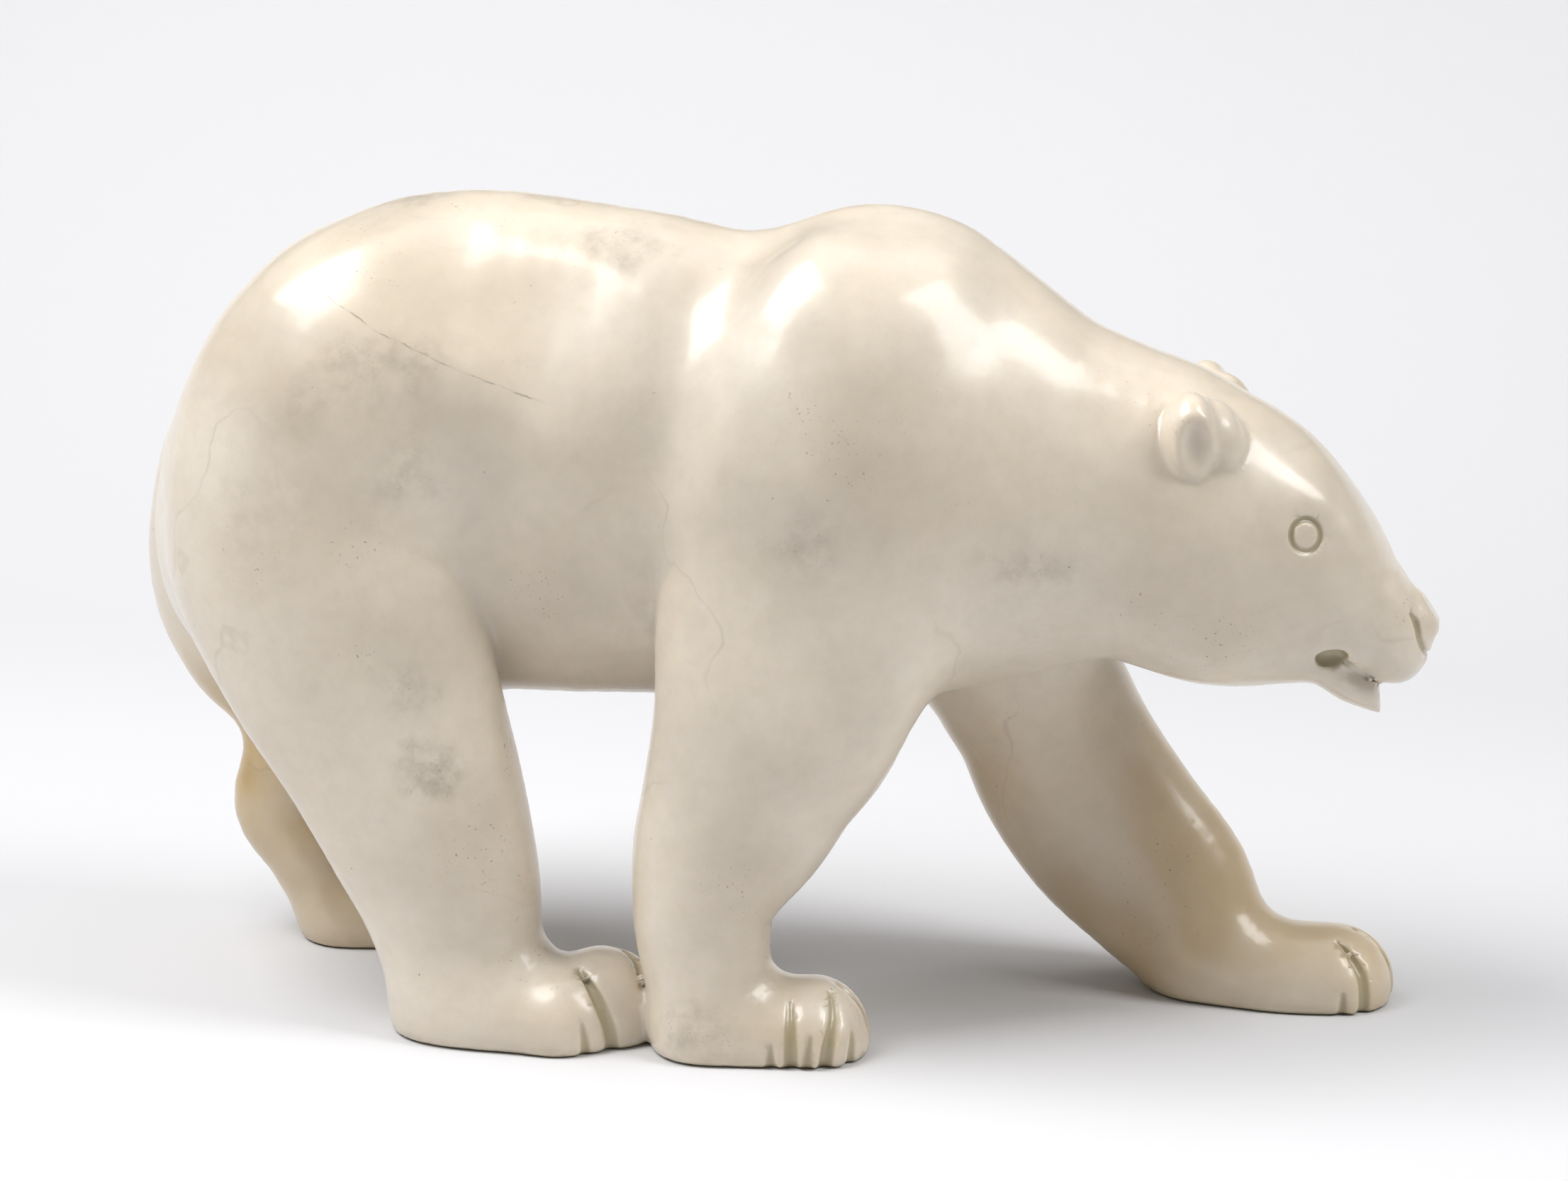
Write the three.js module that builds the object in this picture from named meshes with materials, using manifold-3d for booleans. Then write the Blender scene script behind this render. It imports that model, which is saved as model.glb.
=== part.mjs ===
// A polar bear walking with its head low, carved from one block of alabaster.
// Units are millimetres, +Z is up, the bear walks towards +X and its left side is +Y.
// The origin is on the ground, under the middle of the bear's bounding box.
//
// The stone is described by a field: for any point, how far it is from the surface,
// negative inside the stone. Swept ovals and eggs are blended into one another like clay,
// and the chisel work is then cut out of them. A net of triangles is drawn over the
// field, thinned until the flat parts hold few triangles, and the soles are sawn flat.

import * as THREE from "three";
import { mergeVertices } from "three/addons/utils/BufferGeometryUtils.js";
import Module from "manifold-3d";

// Driving dimensions
const BEAR_LENGTH = 389; // nose to far haunch
const DRAWN_LENGTH = 389; // the length at which the stations below were drawn
const EYE_RING_RADIUS = 4.35;
const EYE_RING_WIDTH = 1.9;
const TOE_CUT_WIDTH = 3.4;
const NET_CELL = 1.5; // spacing of the grid that the net is drawn on
const TRIANGLES = 9400; // after thinning

const u = BEAR_LENGTH / DRAWN_LENGTH;

// Blends of two distances. reach is how far the blend spreads: 0 leaves a sharp edge.
function join(a, b, reach) {
  if (reach <= 0) return Math.min(a, b);
  const h = Math.max(reach - Math.abs(a - b), 0) / reach;
  return Math.min(a, b) - (h * h * reach) / 4;
}

function cut(a, b, reach) {
  return -join(-a, b, reach);
}

function smooth(low, high, value) {
  const t = Math.min(Math.max((value - low) / (high - low), 0), 1);
  return t * t * (3 - 2 * t);
}

// Distance to an oval whose half sizes are a, b and c along its own axes.
function ovalDistance(p, q, r, a, b, c) {
  const pa = p / a;
  const qb = q / b;
  const rc = r / c;
  const near = Math.sqrt(pa * pa + qb * qb + rc * rc);
  const slope = Math.sqrt((pa * pa) / (a * a) + (qb * qb) / (b * b) + (rc * rc) / (c * c));
  return slope < 1e-9 ? -Math.min(a, b, c) : (near * (near - 1)) / slope;
}

// An egg: an ellipsoid pitched nose down about Y, then turned about Z, both in degrees.
function egg(centre, halves, pitch = 0, turn = 0) {
  const turned = new THREE.Matrix4().makeRotationFromEuler(
    new THREE.Euler(0, THREE.MathUtils.degToRad(pitch), THREE.MathUtils.degToRad(turn), "ZYX"),
  );
  const m = turned.elements;
  const [cx, cy, cz] = centre.map((v) => v * u);
  const [a, b, c] = halves.map((v) => v * u);
  return (x, y, z) => {
    const p = x - cx;
    const q = y - cy;
    const r = z - cz;
    return ovalDistance(
      p * m[0] + q * m[1] + r * m[2],
      p * m[4] + q * m[5] + r * m[6],
      p * m[8] + q * m[9] + r * m[10],
      a,
      b,
      c,
    );
  };
}

// A flat rubbed face through [x, z]: reads below 0 in the stone to be taken away beyond it.
// facing is how far the face is turned up from the bear's walking direction, in degrees.
function flat(through, facing) {
  const tilt = THREE.MathUtils.degToRad(facing);
  return (x, z) => -((x - through[0] * u) * Math.cos(tilt) + (z - through[1] * u) * Math.sin(tilt));
}

// A sweep: an oval drawn through stations [x, y, z, half width across, half depth].
// The half width lies along Y as nearly as the path allows.
function sweep(stations, steps = 5) {
  const path = new THREE.CatmullRomCurve3(stations.map(([x, y, z]) => new THREE.Vector3(x * u, y * u, z * u)));
  const sizes = new THREE.CatmullRomCurve3(stations.map(([, , , w, d]) => new THREE.Vector3(w * u, d * u, 0)));
  const count = (stations.length - 1) * steps;
  const rings = [];
  const low = new THREE.Vector3(Infinity, Infinity, Infinity);
  const high = low.clone().negate();
  for (let i = 0; i <= count; i++) {
    const at = path.getPoint(i / count);
    const ahead = path.getPoint(Math.min((i + 0.5) / count, 1));
    const along = ahead.sub(path.getPoint(Math.max((i - 0.5) / count, 0))).normalize();
    const across = new THREE.Vector3(0, 1, 0).addScaledVector(along, -along.y).normalize();
    const deep = along.clone().cross(across);
    const size = sizes.getPoint(i / count);
    const most = Math.max(size.x, size.y);
    const cap = i === 0 || i === count ? Math.min(size.x, size.y) : most;
    rings.push({ at, along, across, deep, width: size.x, depth: size.y, cap });
    low.min(at.clone().subScalar(most));
    high.max(at.clone().addScalar(most));
  }
  const turning = (a, b, t, px, py, pz) =>
    px * (a.x + (b.x - a.x) * t) + py * (a.y + (b.y - a.y) * t) + pz * (a.z + (b.z - a.z) * t);
  return (x, y, z) => {
    const outside = outsideBox(low, high, x, y, z);
    if (outside > 24 * u) return outside;
    let best = Infinity;
    for (let i = 0; i < count; i++) {
      const a = rings[i];
      const b = rings[i + 1];
      const lx = b.at.x - a.at.x;
      const ly = b.at.y - a.at.y;
      const lz = b.at.z - a.at.z;
      let px = x - a.at.x;
      let py = y - a.at.y;
      let pz = z - a.at.z;
      const share = (px * lx + py * ly + pz * lz) / (lx * lx + ly * ly + lz * lz);
      const t = share < 0 ? 0 : share > 1 ? 1 : share;
      px -= lx * t;
      py -= ly * t;
      pz -= lz * t;
      const width = a.width + (b.width - a.width) * t;
      const depth = a.depth + (b.depth - a.depth) * t;
      if (Math.sqrt(px * px + py * py + pz * pz) - Math.max(width, depth) > best) continue;
      const found = ovalDistance(
        turning(a.along, b.along, t, px, py, pz),
        turning(a.across, b.across, t, px, py, pz),
        turning(a.deep, b.deep, t, px, py, pz),
        a.cap + (b.cap - a.cap) * t,
        width,
        depth,
      );
      if (found < best) best = found;
    }
    return best;
  };
}

function outsideBox(low, high, x, y, z) {
  const ox = x < low.x ? low.x - x : x > high.x ? x - high.x : 0;
  const oy = y < low.y ? low.y - y : y > high.y ? y - high.y : 0;
  const oz = z < low.z ? low.z - z : z > high.z ? z - high.z : 0;
  return Math.sqrt(ox * ox + oy * oy + oz * oz);
}

// The trunk, from the rump to the root of the neck
const trunk = sweep([
  [-133, 0, 130, 38, 54],
  [-119, 0, 150, 46, 61.5],
  [-94, 0, 161, 49, 72],
  [-60, 0, 161, 48, 70.5],
  [-18, 0, 158, 45, 66.5],
  [22, 0, 158, 45, 64],
  [48, 0, 156, 42, 55],
]);
const hump = egg([31, 0, 204], [33, 18, 27], 4);
const neck = sweep([
  [42, 0, 158, 42, 55],
  [72, 0, 153.5, 38, 45.5],
  [96, 0, 155.5, 34, 39],
  [112, 0, 147, 32, 38],
]);
const nearHip = egg([-106, -24, 175.5], [42, 27, 40], 12);
const farHip = egg([-115, 24, 175.5], [41, 27, 41], -2);
const nearShoulder = egg([17, -25, 174], [36, 25, 46], 10);
const farShoulder = egg([30, 25, 172], [36, 25, 46], -6);
const blades = [
  egg([13, -19, 202], [13, 14, 18], 10),
  egg([47, -16, 202], [12, 13, 16], -16),
  egg([18, 19, 202], [13, 14, 18], 8),
  egg([51, 16, 200], [12, 13, 16], -16),
];

// The head
const skull = sweep([
  [104, 0, 146, 32, 36],
  [122, 0, 142.5, 31, 35],
  [138, 0, 137.5, 26, 33.2],
  [151, 0, 129.5, 20.5, 23.5],
  [162, 0, 124, 16.5, 17.5],
  [170, 0, 119, 13.5, 12.5],
]);
const jowl = egg([124, 0, 124], [26, 25, 22.5]);
const lip = egg([171.8, 0, 112.2], [8.2, 12.5, 8.6]);
const nosePad = egg([175.5, 0, 120.5], [9.8, 8, 9.8]);
const jaw = sweep([
  [138, 0, 112, 17, 8.5],
  [151, 0, 109, 13, 6.5],
  [160, 0, 103.4, 9.6, 6],
  [169, 0, 99.2, 4, 5],
]);
const brows = [egg([143, -15.5, 157], [9, 5, 5], 25), egg([143, 15.5, 157], [9, 5, 5], 25)];
// The bridge of the nose, the front of the nose pad and the front of the jaw are rubbed flat
const bridge = flat([151.5, 169.9], 33.3);
const noseFront = flat([184.3, 119.7], -35.4);
const jawFront = flat([168.5, 94.9], 7.6);
const ears = [-1, 1].map((side) => {
  const cup = egg([117.8, 27 * side, 174], [10, 10.5, 13.3], 0, -18 * side);
  const flare = egg([127, 21.5 * side, 169], [5, 7, 9], 20, -10 * side);
  return (x, y, z) => join(cup(x, y, z), flare(x, y, z), 5 * u);
});

// The legs, from inside the trunk down into the ground
const nearHind = sweep([
  [-118, -22, 188, 24, 32],
  [-124, -26, 168, 28, 40],
  [-126, -30, 150, 28, 42.5],
  [-123, -34, 130, 26.5, 43.5],
  [-117, -37, 105, 24.5, 41.5],
  [-108, -39, 82, 22, 38],
  [-99, -41, 60, 20.5, 34.5],
  [-92.5, -41, 43, 19, 30.5],
  [-88, -41, 28, 18, 26],
  [-82, -41, 6, 17.5, 22],
]);
const nearHindFoot = sweep([
  [-86, -41, 6, 17, 16],
  [-70, -42, 5, 19.5, 18],
  [-55, -43, 4, 20, 18.5],
]);
const nearHindToes = egg([-45, -37, 5], [18, 18.5, 19.5]);
const nearFront = sweep([
  [20, -22, 188, 24, 34],
  [18, -26, 168, 28, 39],
  [15, -30, 150, 27, 41],
  [11.5, -34, 125, 25.5, 40.5],
  [7, -38, 100, 24, 35.5],
  [0.5, -40, 83, 22, 30.5],
  [-5.5, -41, 67, 20.5, 27],
  [-11.5, -41.5, 54, 19.5, 23],
  [-14.5, -42, 43, 18.5, 20],
  [-14.5, -42, 32, 18, 19],
  [-13, -42, 8, 18, 16],
]);
const nearFrontFoot = sweep([
  [-12, -42, 4, 18, 15],
  [2, -41.5, 4, 19, 16],
  [15.5, -41, 4, 18.5, 17],
]);
const farFront = sweep([
  [36, 20, 176, 26, 40],
  [42, 26, 150, 26, 40],
  [53, 32, 120, 25, 36],
  [63.5, 36, 93, 23, 28],
  [71, 38, 79, 22, 27.5],
  [78.5, 38, 63.5, 20.5, 28.5],
  [90, 38, 47, 19.5, 28.5],
  [107, 37, 29, 18.5, 26],
  [119, 34, 14, 18, 20],
]);
const farFrontFoot = sweep([
  [122, 35, 5, 17, 16],
  [142, 33, 4, 20, 17.5],
  [157, 33, 4, 19, 17.5],
]);
const farThigh = sweep([
  [-118, 22, 176, 26, 36],
  [-136, 28, 155, 28, 45],
  [-146, 33, 134, 27, 53],
  [-149, 36, 112, 25, 53],
  [-140, 37, 96, 22, 43],
]);
const farShin = sweep([
  [-112, 36, 102, 20, 26],
  [-132, 38, 80, 18, 25],
  [-152, 38, 57, 17, 20],
  [-161.5, 37, 41, 16, 17],
  [-154, 36, 26, 15.5, 14],
  [-142, 37, 6, 16, 14],
]);
const farHindFoot = sweep([
  [-142, 37, 4, 16, 14],
  [-122, 38, 4, 18, 15],
]);

function body(x, y, z) {
  let stone = trunk(x, y, z);
  stone = join(stone, hump(x, y, z), 20 * u);
  stone = join(stone, neck(x, y, z), 20 * u);
  stone = join(stone, nearHip(x, y, z), 16 * u);
  stone = join(stone, farHip(x, y, z), 16 * u);
  stone = join(stone, nearShoulder(x, y, z), 16 * u);
  stone = join(stone, farShoulder(x, y, z), 16 * u);
  for (const blade of blades) stone = join(stone, blade(x, y, z), 9 * u);
  return stone;
}

function face(x, y, z) {
  let head = join(skull(x, y, z), jowl(x, y, z), 10 * u);
  head = join(head, lip(x, y, z), 4 * u);
  for (const brow of brows) head = join(head, brow(x, y, z), 6 * u);
  head = cut(head, bridge(x, z), 7 * u);
  const nose = cut(cut(nosePad(x, y, z), bridge(x, z), 2 * u), noseFront(x, z), 2 * u);
  head = join(head, nose, 1.5 * u);
  return join(head, cut(jaw(x, y, z), jawFront(x, z), 1.5 * u), 2 * u);
}

// A leg's crease against the trunk is crisp where the belly passes behind it, and fades
// out over the haunch, the shoulder and the chest.
function walkingBear(x, y, z) {
  let stone = join(body(x, y, z), face(x, y, z), 14 * u);
  for (const ear of ears) stone = join(stone, ear(x, y, z), 2.5 * u);
  const high = smooth(128 * u, 168 * u, z);
  const rearwards = 1 - smooth(-130 * u, -98 * u, x);
  const forwards = smooth(0, 34 * u, x);
  let hind = join(nearHind(x, y, z), nearHindFoot(x, y, z), 10 * u);
  hind = join(hind, nearHindToes(x, y, z), 3 * u);
  stone = join(stone, hind, (2 + 16 * Math.max(high, rearwards)) * u);
  const front = join(nearFront(x, y, z), nearFrontFoot(x, y, z), 10 * u);
  stone = join(stone, front, (2 + 16 * Math.max(high, forwards)) * u);
  const reaching = join(farFront(x, y, z), farFrontFoot(x, y, z), 10 * u);
  stone = join(stone, reaching, (4 + 14 * high) * u);
  let pushing = join(farThigh(x, y, z), farShin(x, y, z), 12 * u);
  pushing = join(pushing, farHindFoot(x, y, z), 10 * u);
  return join(stone, pushing, (4 + 14 * Math.max(high, rearwards)) * u);
}

// A soft hollow along a path of points [x, y, z]. Its depth fades over the spread.
function press(points, spread, depth) {
  const path = points.map(([x, y, z]) => new THREE.Vector3(x, y, z).multiplyScalar(u));
  const line = polyline(path.map((point) => ({ point, radius: 0 })), 3 * spread * u);
  return (x, y, z) => {
    const away = line(x, y, z) / (spread * u);
    return away > 3 ? 0 : depth * u * Math.exp(-(away * away) / 2);
  };
}

// Distance to a line of round links { point, radius }. Beyond `far` it may read short.
function polyline(links, far) {
  const low = new THREE.Vector3(Infinity, Infinity, Infinity);
  const high = low.clone().negate();
  for (const { point, radius } of links) {
    low.min(point.clone().subScalar(radius));
    high.max(point.clone().addScalar(radius));
  }
  return (x, y, z) => {
    const outside = outsideBox(low, high, x, y, z);
    if (outside > far) return outside;
    let best = Infinity;
    for (let i = 0; i < links.length - 1; i++) {
      const a = links[i];
      const b = links[i + 1];
      const lx = b.point.x - a.point.x;
      const ly = b.point.y - a.point.y;
      const lz = b.point.z - a.point.z;
      const px = x - a.point.x;
      const py = y - a.point.y;
      const pz = z - a.point.z;
      const share = (px * lx + py * ly + pz * lz) / (lx * lx + ly * ly + lz * lz);
      const t = share < 0 ? 0 : share > 1 ? 1 : share;
      const dx = px - lx * t;
      const dy = py - ly * t;
      const dz = pz - lz * t;
      const found = Math.sqrt(dx * dx + dy * dy + dz * dz) - a.radius - (b.radius - a.radius) * t;
      if (found < best) best = found;
    }
    return best;
  };
}

// Chisel work. settle moves a point onto the surface of a field, and returns the way out
// of the stone there.
function settle(field, point, tries) {
  const out = new THREE.Vector3();
  const e = 0.1 * u;
  for (let i = 0; i < tries; i++) {
    out.set(
      field(point.x + e, point.y, point.z) - field(point.x - e, point.y, point.z),
      field(point.x, point.y + e, point.z) - field(point.x, point.y - e, point.z),
      field(point.x, point.y, point.z + e) - field(point.x, point.y, point.z - e),
    );
    const slope = Math.max(out.length() / (2 * e), 0.5);
    out.normalize();
    point.addScaledVector(out, -field(point.x, point.y, point.z) / slope);
  }
  return out;
}

// A groove cut by a round gouge along points [x, y, z, gouge radius] of the surface
function groove(points) {
  const bed = points.map(([x, y, z]) => new THREE.Vector3(x, y, z).multiplyScalar(u));
  for (const point of bed) settle(walkingBear, point, 10);
  const path = new THREE.CatmullRomCurve3(bed);
  const steps = (points.length - 1) * 3;
  const links = [];
  for (let i = 0; i <= steps; i++) {
    const at = (i / steps) * (points.length - 1);
    const k = Math.min(Math.floor(at), points.length - 2);
    const radius = points[k][3] + (points[k + 1][3] - points[k][3]) * (at - k);
    links.push({ point: path.getPoint(i / steps), radius: radius * u });
  }
  return polyline(links, 12 * u);
}

// A ring bored round a point of the surface, like the mark of a tube drill
function ring(centre, radius, width) {
  const point = new THREE.Vector3(...centre).multiplyScalar(u);
  const out = settle(walkingBear, point, 10);
  return (x, y, z) => {
    const px = x - point.x;
    const py = y - point.y;
    const pz = z - point.z;
    const height = px * out.x + py * out.y + pz * out.z;
    const round = Math.sqrt(Math.max(px * px + py * py + pz * pz - height * height, 0));
    return Math.hypot(round - radius * u, height) - (width / 2) * u;
  };
}

const t = TOE_CUT_WIDTH / 2;
const toeCuts = [
  // right front paw, from the outer toe inwards
  groove([[13.5, -60, -3, t], [13.5, -60, 5, t], [13, -58, 12, t * 0.8], [12, -53, 18, t * 0.3]]),
  groove([[21.8, -56, -3, t], [22.3, -55, 6, t], [23.8, -52, 13, t * 0.8], [22.5, -46, 20, t * 0.3]]),
  groove([[34, -39, -3, t], [34, -39, 6, t], [31, -39, 14, t * 0.8], [24, -39, 21, t * 0.3]]),
  groove([[30, -27, -3, t], [30, -27, 6, t], [27, -28, 14, t * 0.8], [21, -32, 20, t * 0.3]]),
  groove([[8, -61, -3, t * 0.8], [8, -61, 3, t * 0.6], [8, -61, 7, t * 0.2]]),
  groove([[17.5, -58, -3, t * 0.8], [18, -58, 4, t * 0.6], [18.5, -57, 9, t * 0.2]]),
  groove([[27.5, -51, -3, t * 0.8], [28, -51, 4, t * 0.6], [28.5, -50, 9, t * 0.2]]),
  // right hind paw
  groove([[-37, -56, -3, t], [-39, -53, 4, t], [-43, -50, 11, t], [-50, -46, 17, t * 0.4]]),
  groove([[-43.5, -60, -3, t * 0.8], [-44, -60, 4, t * 0.6], [-46, -58, 9, t * 0.2]]),
  groove([[-31, -42, 14, t * 0.5], [-38, -36, 19, t * 0.6], [-46, -30, 22, t * 0.3]]),
  // left front paw
  groove([[165.5, 19, -3, t], [165.5, 19, 4, t], [164, 21, 10, t * 0.9], [158, 25, 17, t * 0.3]]),
  groove([[161, 13, -3, t * 0.8], [161, 13, 3, t * 0.6], [161, 13, 7, t * 0.2]]),
  groove([[174, 32, -3, t], [174, 32, 6, t], [170, 33, 14, t * 0.8], [162, 35, 20, t * 0.3]]),
  groove([[171, 44, -3, t], [171, 44, 6, t], [166, 44, 13, t * 0.8], [159, 44, 18, t * 0.3]]),
  // left hind paw
  groove([[-110, 24, -3, t], [-110, 24, 5, t], [-114, 27, 12, t * 0.3]]),
  groove([[-104, 33, -3, t], [-104, 33, 5, t], [-109, 33, 14, t * 0.3]]),
  groove([[-105, 43, -3, t], [-105, 43, 5, t], [-110, 42, 14, t * 0.3]]),
];
// Soft hollows pressed into the finished form: path, spread, depth
const presses = [
  // behind the right and the left shoulder blade
  press([[-2, -20, 221], [-5, -28, 215], [-12, -40, 203], [-18, -46, 188], [-24, -49, 168]], 9, 3.2),
  press([[4, 20, 221], [1, 28, 215], [-6, 40, 203], [-12, 46, 188], [-17, 49, 168]], 9, 3.2),
  // between the two bones of each shoulder
  press([[32, -30, 216], [32, -40, 198]], 8, 1.1),
  press([[36, 30, 216], [36, 40, 198]], 8, 1.1),
  // where the neck leaves the shoulder
  press([[64, -22, 202], [68, -34, 184], [71, -38, 166]], 12, 2.2),
  press([[67, 22, 202], [71, 34, 184], [73, 38, 166]], 12, 2.2),
  // the loin in front of each hip, and the flank between ribs and thigh
  press([[-84, -42, 208], [-62, -42, 207]], 14, 4.8),
  press([[-88, 42, 208], [-66, 42, 207]], 14, 4.8),
  press([[-84, -47, 172], [-78, -48, 150]], 12, 2.6),
  press([[-88, 47, 172], [-84, 48, 150]], 12, 2.6),
];
const faceCuts = [
  ring([145.8, -21, 148], EYE_RING_RADIUS, EYE_RING_WIDTH),
  ring([145.8, 21, 148], EYE_RING_RADIUS, EYE_RING_WIDTH),
  // round the nose pad from nostril to nostril, and down the middle of the lip
  groove([
    [175.5, -9.5, 124.6, 0.9],
    [176.8, -9, 122.4, 1.5],
    [177.4, -8.5, 118, 1.2],
    [178.8, -6, 114, 1],
    [180, 0, 112.4, 1],
    [178.8, 6, 114, 1],
    [177.4, 8.5, 118, 1.2],
    [176.8, 9, 122.4, 1.5],
    [175.5, 9.5, 124.6, 0.9],
  ]),
  groove([[181, 0, 113, 1], [180, 0, 109, 0.9], [176, 0, 104.5, 0.6]]),
  // along each side of the mouth, from its corner to the tip of the jaw
  groove([[160, -13, 109.5, 1.3], [165, -8, 105.8, 0.9], [169, 0, 104.2, 0.8], [165, 8, 105.8, 0.9], [160, 13, 109.5, 1.3]]),
];
const mouthCorners = [
  groove([[154.8, -15, 110.8, 2.3], [158.4, -14, 110.8, 2.8]]),
  groove([[154.8, 15, 110.8, 2.3], [158.4, 14, 110.8, 2.8]]),
];
const earDishes = [
  egg([122.3, -37.6, 173.6], [7.8, 6, 10.8], -12, 18),
  egg([122.3, 37.6, 173.6], [7.8, 6, 10.8], -12, -18),
];

function bear(x, y, z) {
  let stone = walkingBear(x, y, z);
  if (stone > 8 * u || stone < -16 * u) return stone;
  for (const dent of presses) stone += dent(x, y, z);
  for (const dish of earDishes) stone = cut(stone, dish(x, y, z), 3.5 * u);
  for (const corner of mouthCorners) stone = cut(stone, corner(x, y, z), 0.8 * u);
  for (const toe of toeCuts) stone = cut(stone, toe(x, y, z), 1.6 * u);
  for (const line of faceCuts) stone = cut(stone, line(x, y, z), 0.6 * u);
  return stone;
}

// Round these places the net is split finer than its grid, and thinned with more care:
// middle x, y (on both sides), z, radius, times split, care
const FINE_PLACES = [
  [145.8, 21, 148, 7, 2, 60],
  [175, 7, 117, 11, 2, 30],
  [157, 14, 110.5, 8, 1, 16],
  [120, 31, 174, 15, 1, 8],
  [20, 52, 0, 26, 0, 4],
  [-44, 52, 0, 18, 0, 4],
  [163, 22, 0, 20, 0, 4],
];

// How many times to split the net at a point, and how heavily the thinning counts it
function finePlace(x, y, z) {
  let splits = 0;
  let care = 1;
  for (const [px, py, pz, radius, placeSplits, placeCare] of FINE_PLACES) {
    if (Math.hypot(x - px * u, Math.abs(y) - py * u, z - pz * u) > radius * u) continue;
    splits = Math.max(splits, placeSplits);
    care = Math.max(care, placeCare);
  }
  return { splits, care };
}

// The net has one point in each grid cell that the surface passes through. Large blocks
// of cells that lie clear of the surface are skipped after one look at their middle.
const SPANS = [16, 8, 4, 2]; // cells along a block, from the first look to the last
const EDGES = [[0, 1], [2, 3], [4, 5], [6, 7], [0, 2], [1, 3], [4, 6], [5, 7], [0, 4], [1, 5], [2, 6], [3, 7]];

function drawNet(field, low, high, cell) {
  const [nx, ny, nz] = high.map((top, i) => Math.ceil((top - low[i]) / cell / SPANS[0]) * SPANS[0] + 1);
  const values = new Float32Array(nx * ny * nz);
  const index = (i, j, k) => (k * ny + j) * nx + i;
  const at = (i, j, k) => field(low[0] + i * cell, low[1] + j * cell, low[2] + k * cell);

  function fill(i, j, k, look) {
    const size = SPANS[look];
    const middle = at(i + size / 2, j + size / 2, k + size / 2);
    const clear = Math.abs(middle) > size * cell * 1.2 + cell;
    if (clear || look === SPANS.length - 1) {
      for (let c = k; c < Math.min(k + size, nz); c++) {
        for (let b = j; b < Math.min(j + size, ny); b++) {
          for (let a = i; a < Math.min(i + size, nx); a++) values[index(a, b, c)] = clear ? middle : at(a, b, c);
        }
      }
      return;
    }
    const next = SPANS[look + 1];
    for (let c = k; c < Math.min(k + size, nz); c += next) {
      for (let b = j; b < Math.min(j + size, ny); b += next) {
        for (let a = i; a < Math.min(i + size, nx); a += next) fill(a, b, c, look + 1);
      }
    }
  }
  for (let k = 0; k < nz; k += SPANS[0]) {
    for (let j = 0; j < ny; j += SPANS[0]) {
      for (let i = 0; i < nx; i += SPANS[0]) fill(i, j, k, 0);
    }
  }

  // A cell whose inside corners, or outside corners, fall into two groups would pinch the
  // net into one point: its shallowest outside corner is filled with stone until none does.
  const corner = new Float64Array(8);
  const read = (i, j, k) => {
    let inside = 0;
    for (let c = 0; c < 8; c++) {
      corner[c] = values[index(i + (c & 1), j + ((c >> 1) & 1), k + (c >> 2))];
      if (corner[c] < 0) inside++;
    }
    return inside;
  };
  const groups = (side) => {
    const label = [0, 1, 2, 3, 4, 5, 6, 7];
    for (let pass = 0; pass < 4; pass++) {
      for (const [a, b] of EDGES) {
        if (corner[a] < 0 === side && corner[b] < 0 === side) label[a] = label[b] = Math.min(label[a], label[b]);
      }
    }
    return new Set(label.filter((_, c) => corner[c] < 0 === side)).size;
  };
  for (let filled = 1; filled > 0; ) {
    filled = 0;
    for (let k = 0; k < nz - 1; k++) {
      for (let j = 0; j < ny - 1; j++) {
        for (let i = 0; i < nx - 1; i++) {
          const inside = read(i, j, k);
          if (inside < 2 || inside > 6 || (groups(true) < 2 && groups(false) < 2)) continue;
          let least = 0;
          for (let c = 0; c < 8; c++) {
            if (corner[c] >= 0 && !(corner[least] >= 0 && corner[least] <= corner[c])) least = c;
          }
          values[index(i + (least & 1), j + ((least >> 1) & 1), k + (least >> 2))] = -0.01 * cell;
          filled++;
        }
      }
    }
  }

  const owner = new Int32Array(values.length).fill(-1);
  const points = [];
  for (let k = 0; k < nz - 1; k++) {
    for (let j = 0; j < ny - 1; j++) {
      for (let i = 0; i < nx - 1; i++) {
        const inside = read(i, j, k);
        if (inside === 0 || inside === 8) continue;
        const sum = [0, 0, 0];
        let crossings = 0;
        for (const [a, b] of EDGES) {
          if (corner[a] < 0 === corner[b] < 0) continue;
          const t = corner[a] / (corner[a] - corner[b]);
          for (let axis = 0; axis < 3; axis++) {
            const from = (a >> axis) & 1;
            sum[axis] += from + t * (((b >> axis) & 1) - from);
          }
          crossings++;
        }
        owner[index(i, j, k)] = points.length / 3;
        points.push(
          low[0] + (i + sum[0] / crossings) * cell,
          low[1] + (j + sum[1] / crossings) * cell,
          low[2] + (k + sum[2] / crossings) * cell,
        );
      }
    }
  }

  const triangles = [];
  const quad = (a, b, c, d, turned) => {
    if (turned) triangles.push(a, c, b, a, d, c);
    else triangles.push(a, b, c, a, c, d);
  };
  for (let k = 1; k < nz - 1; k++) {
    for (let j = 1; j < ny - 1; j++) {
      for (let i = 1; i < nx - 1; i++) {
        const inside = values[index(i, j, k)] < 0;
        const own = (di, dj, dk) => owner[index(i - di, j - dj, k - dk)];
        if (inside !== values[index(i + 1, j, k)] < 0) {
          quad(own(0, 1, 1), own(0, 0, 1), own(0, 0, 0), own(0, 1, 0), !inside);
        }
        if (inside !== values[index(i, j + 1, k)] < 0) {
          quad(own(1, 0, 1), own(1, 0, 0), own(0, 0, 0), own(0, 0, 1), !inside);
        }
        if (inside !== values[index(i, j, k + 1)] < 0) {
          quad(own(1, 1, 0), own(0, 1, 0), own(0, 0, 0), own(1, 0, 0), !inside);
        }
      }
    }
  }
  return { points, triangles };
}

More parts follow.
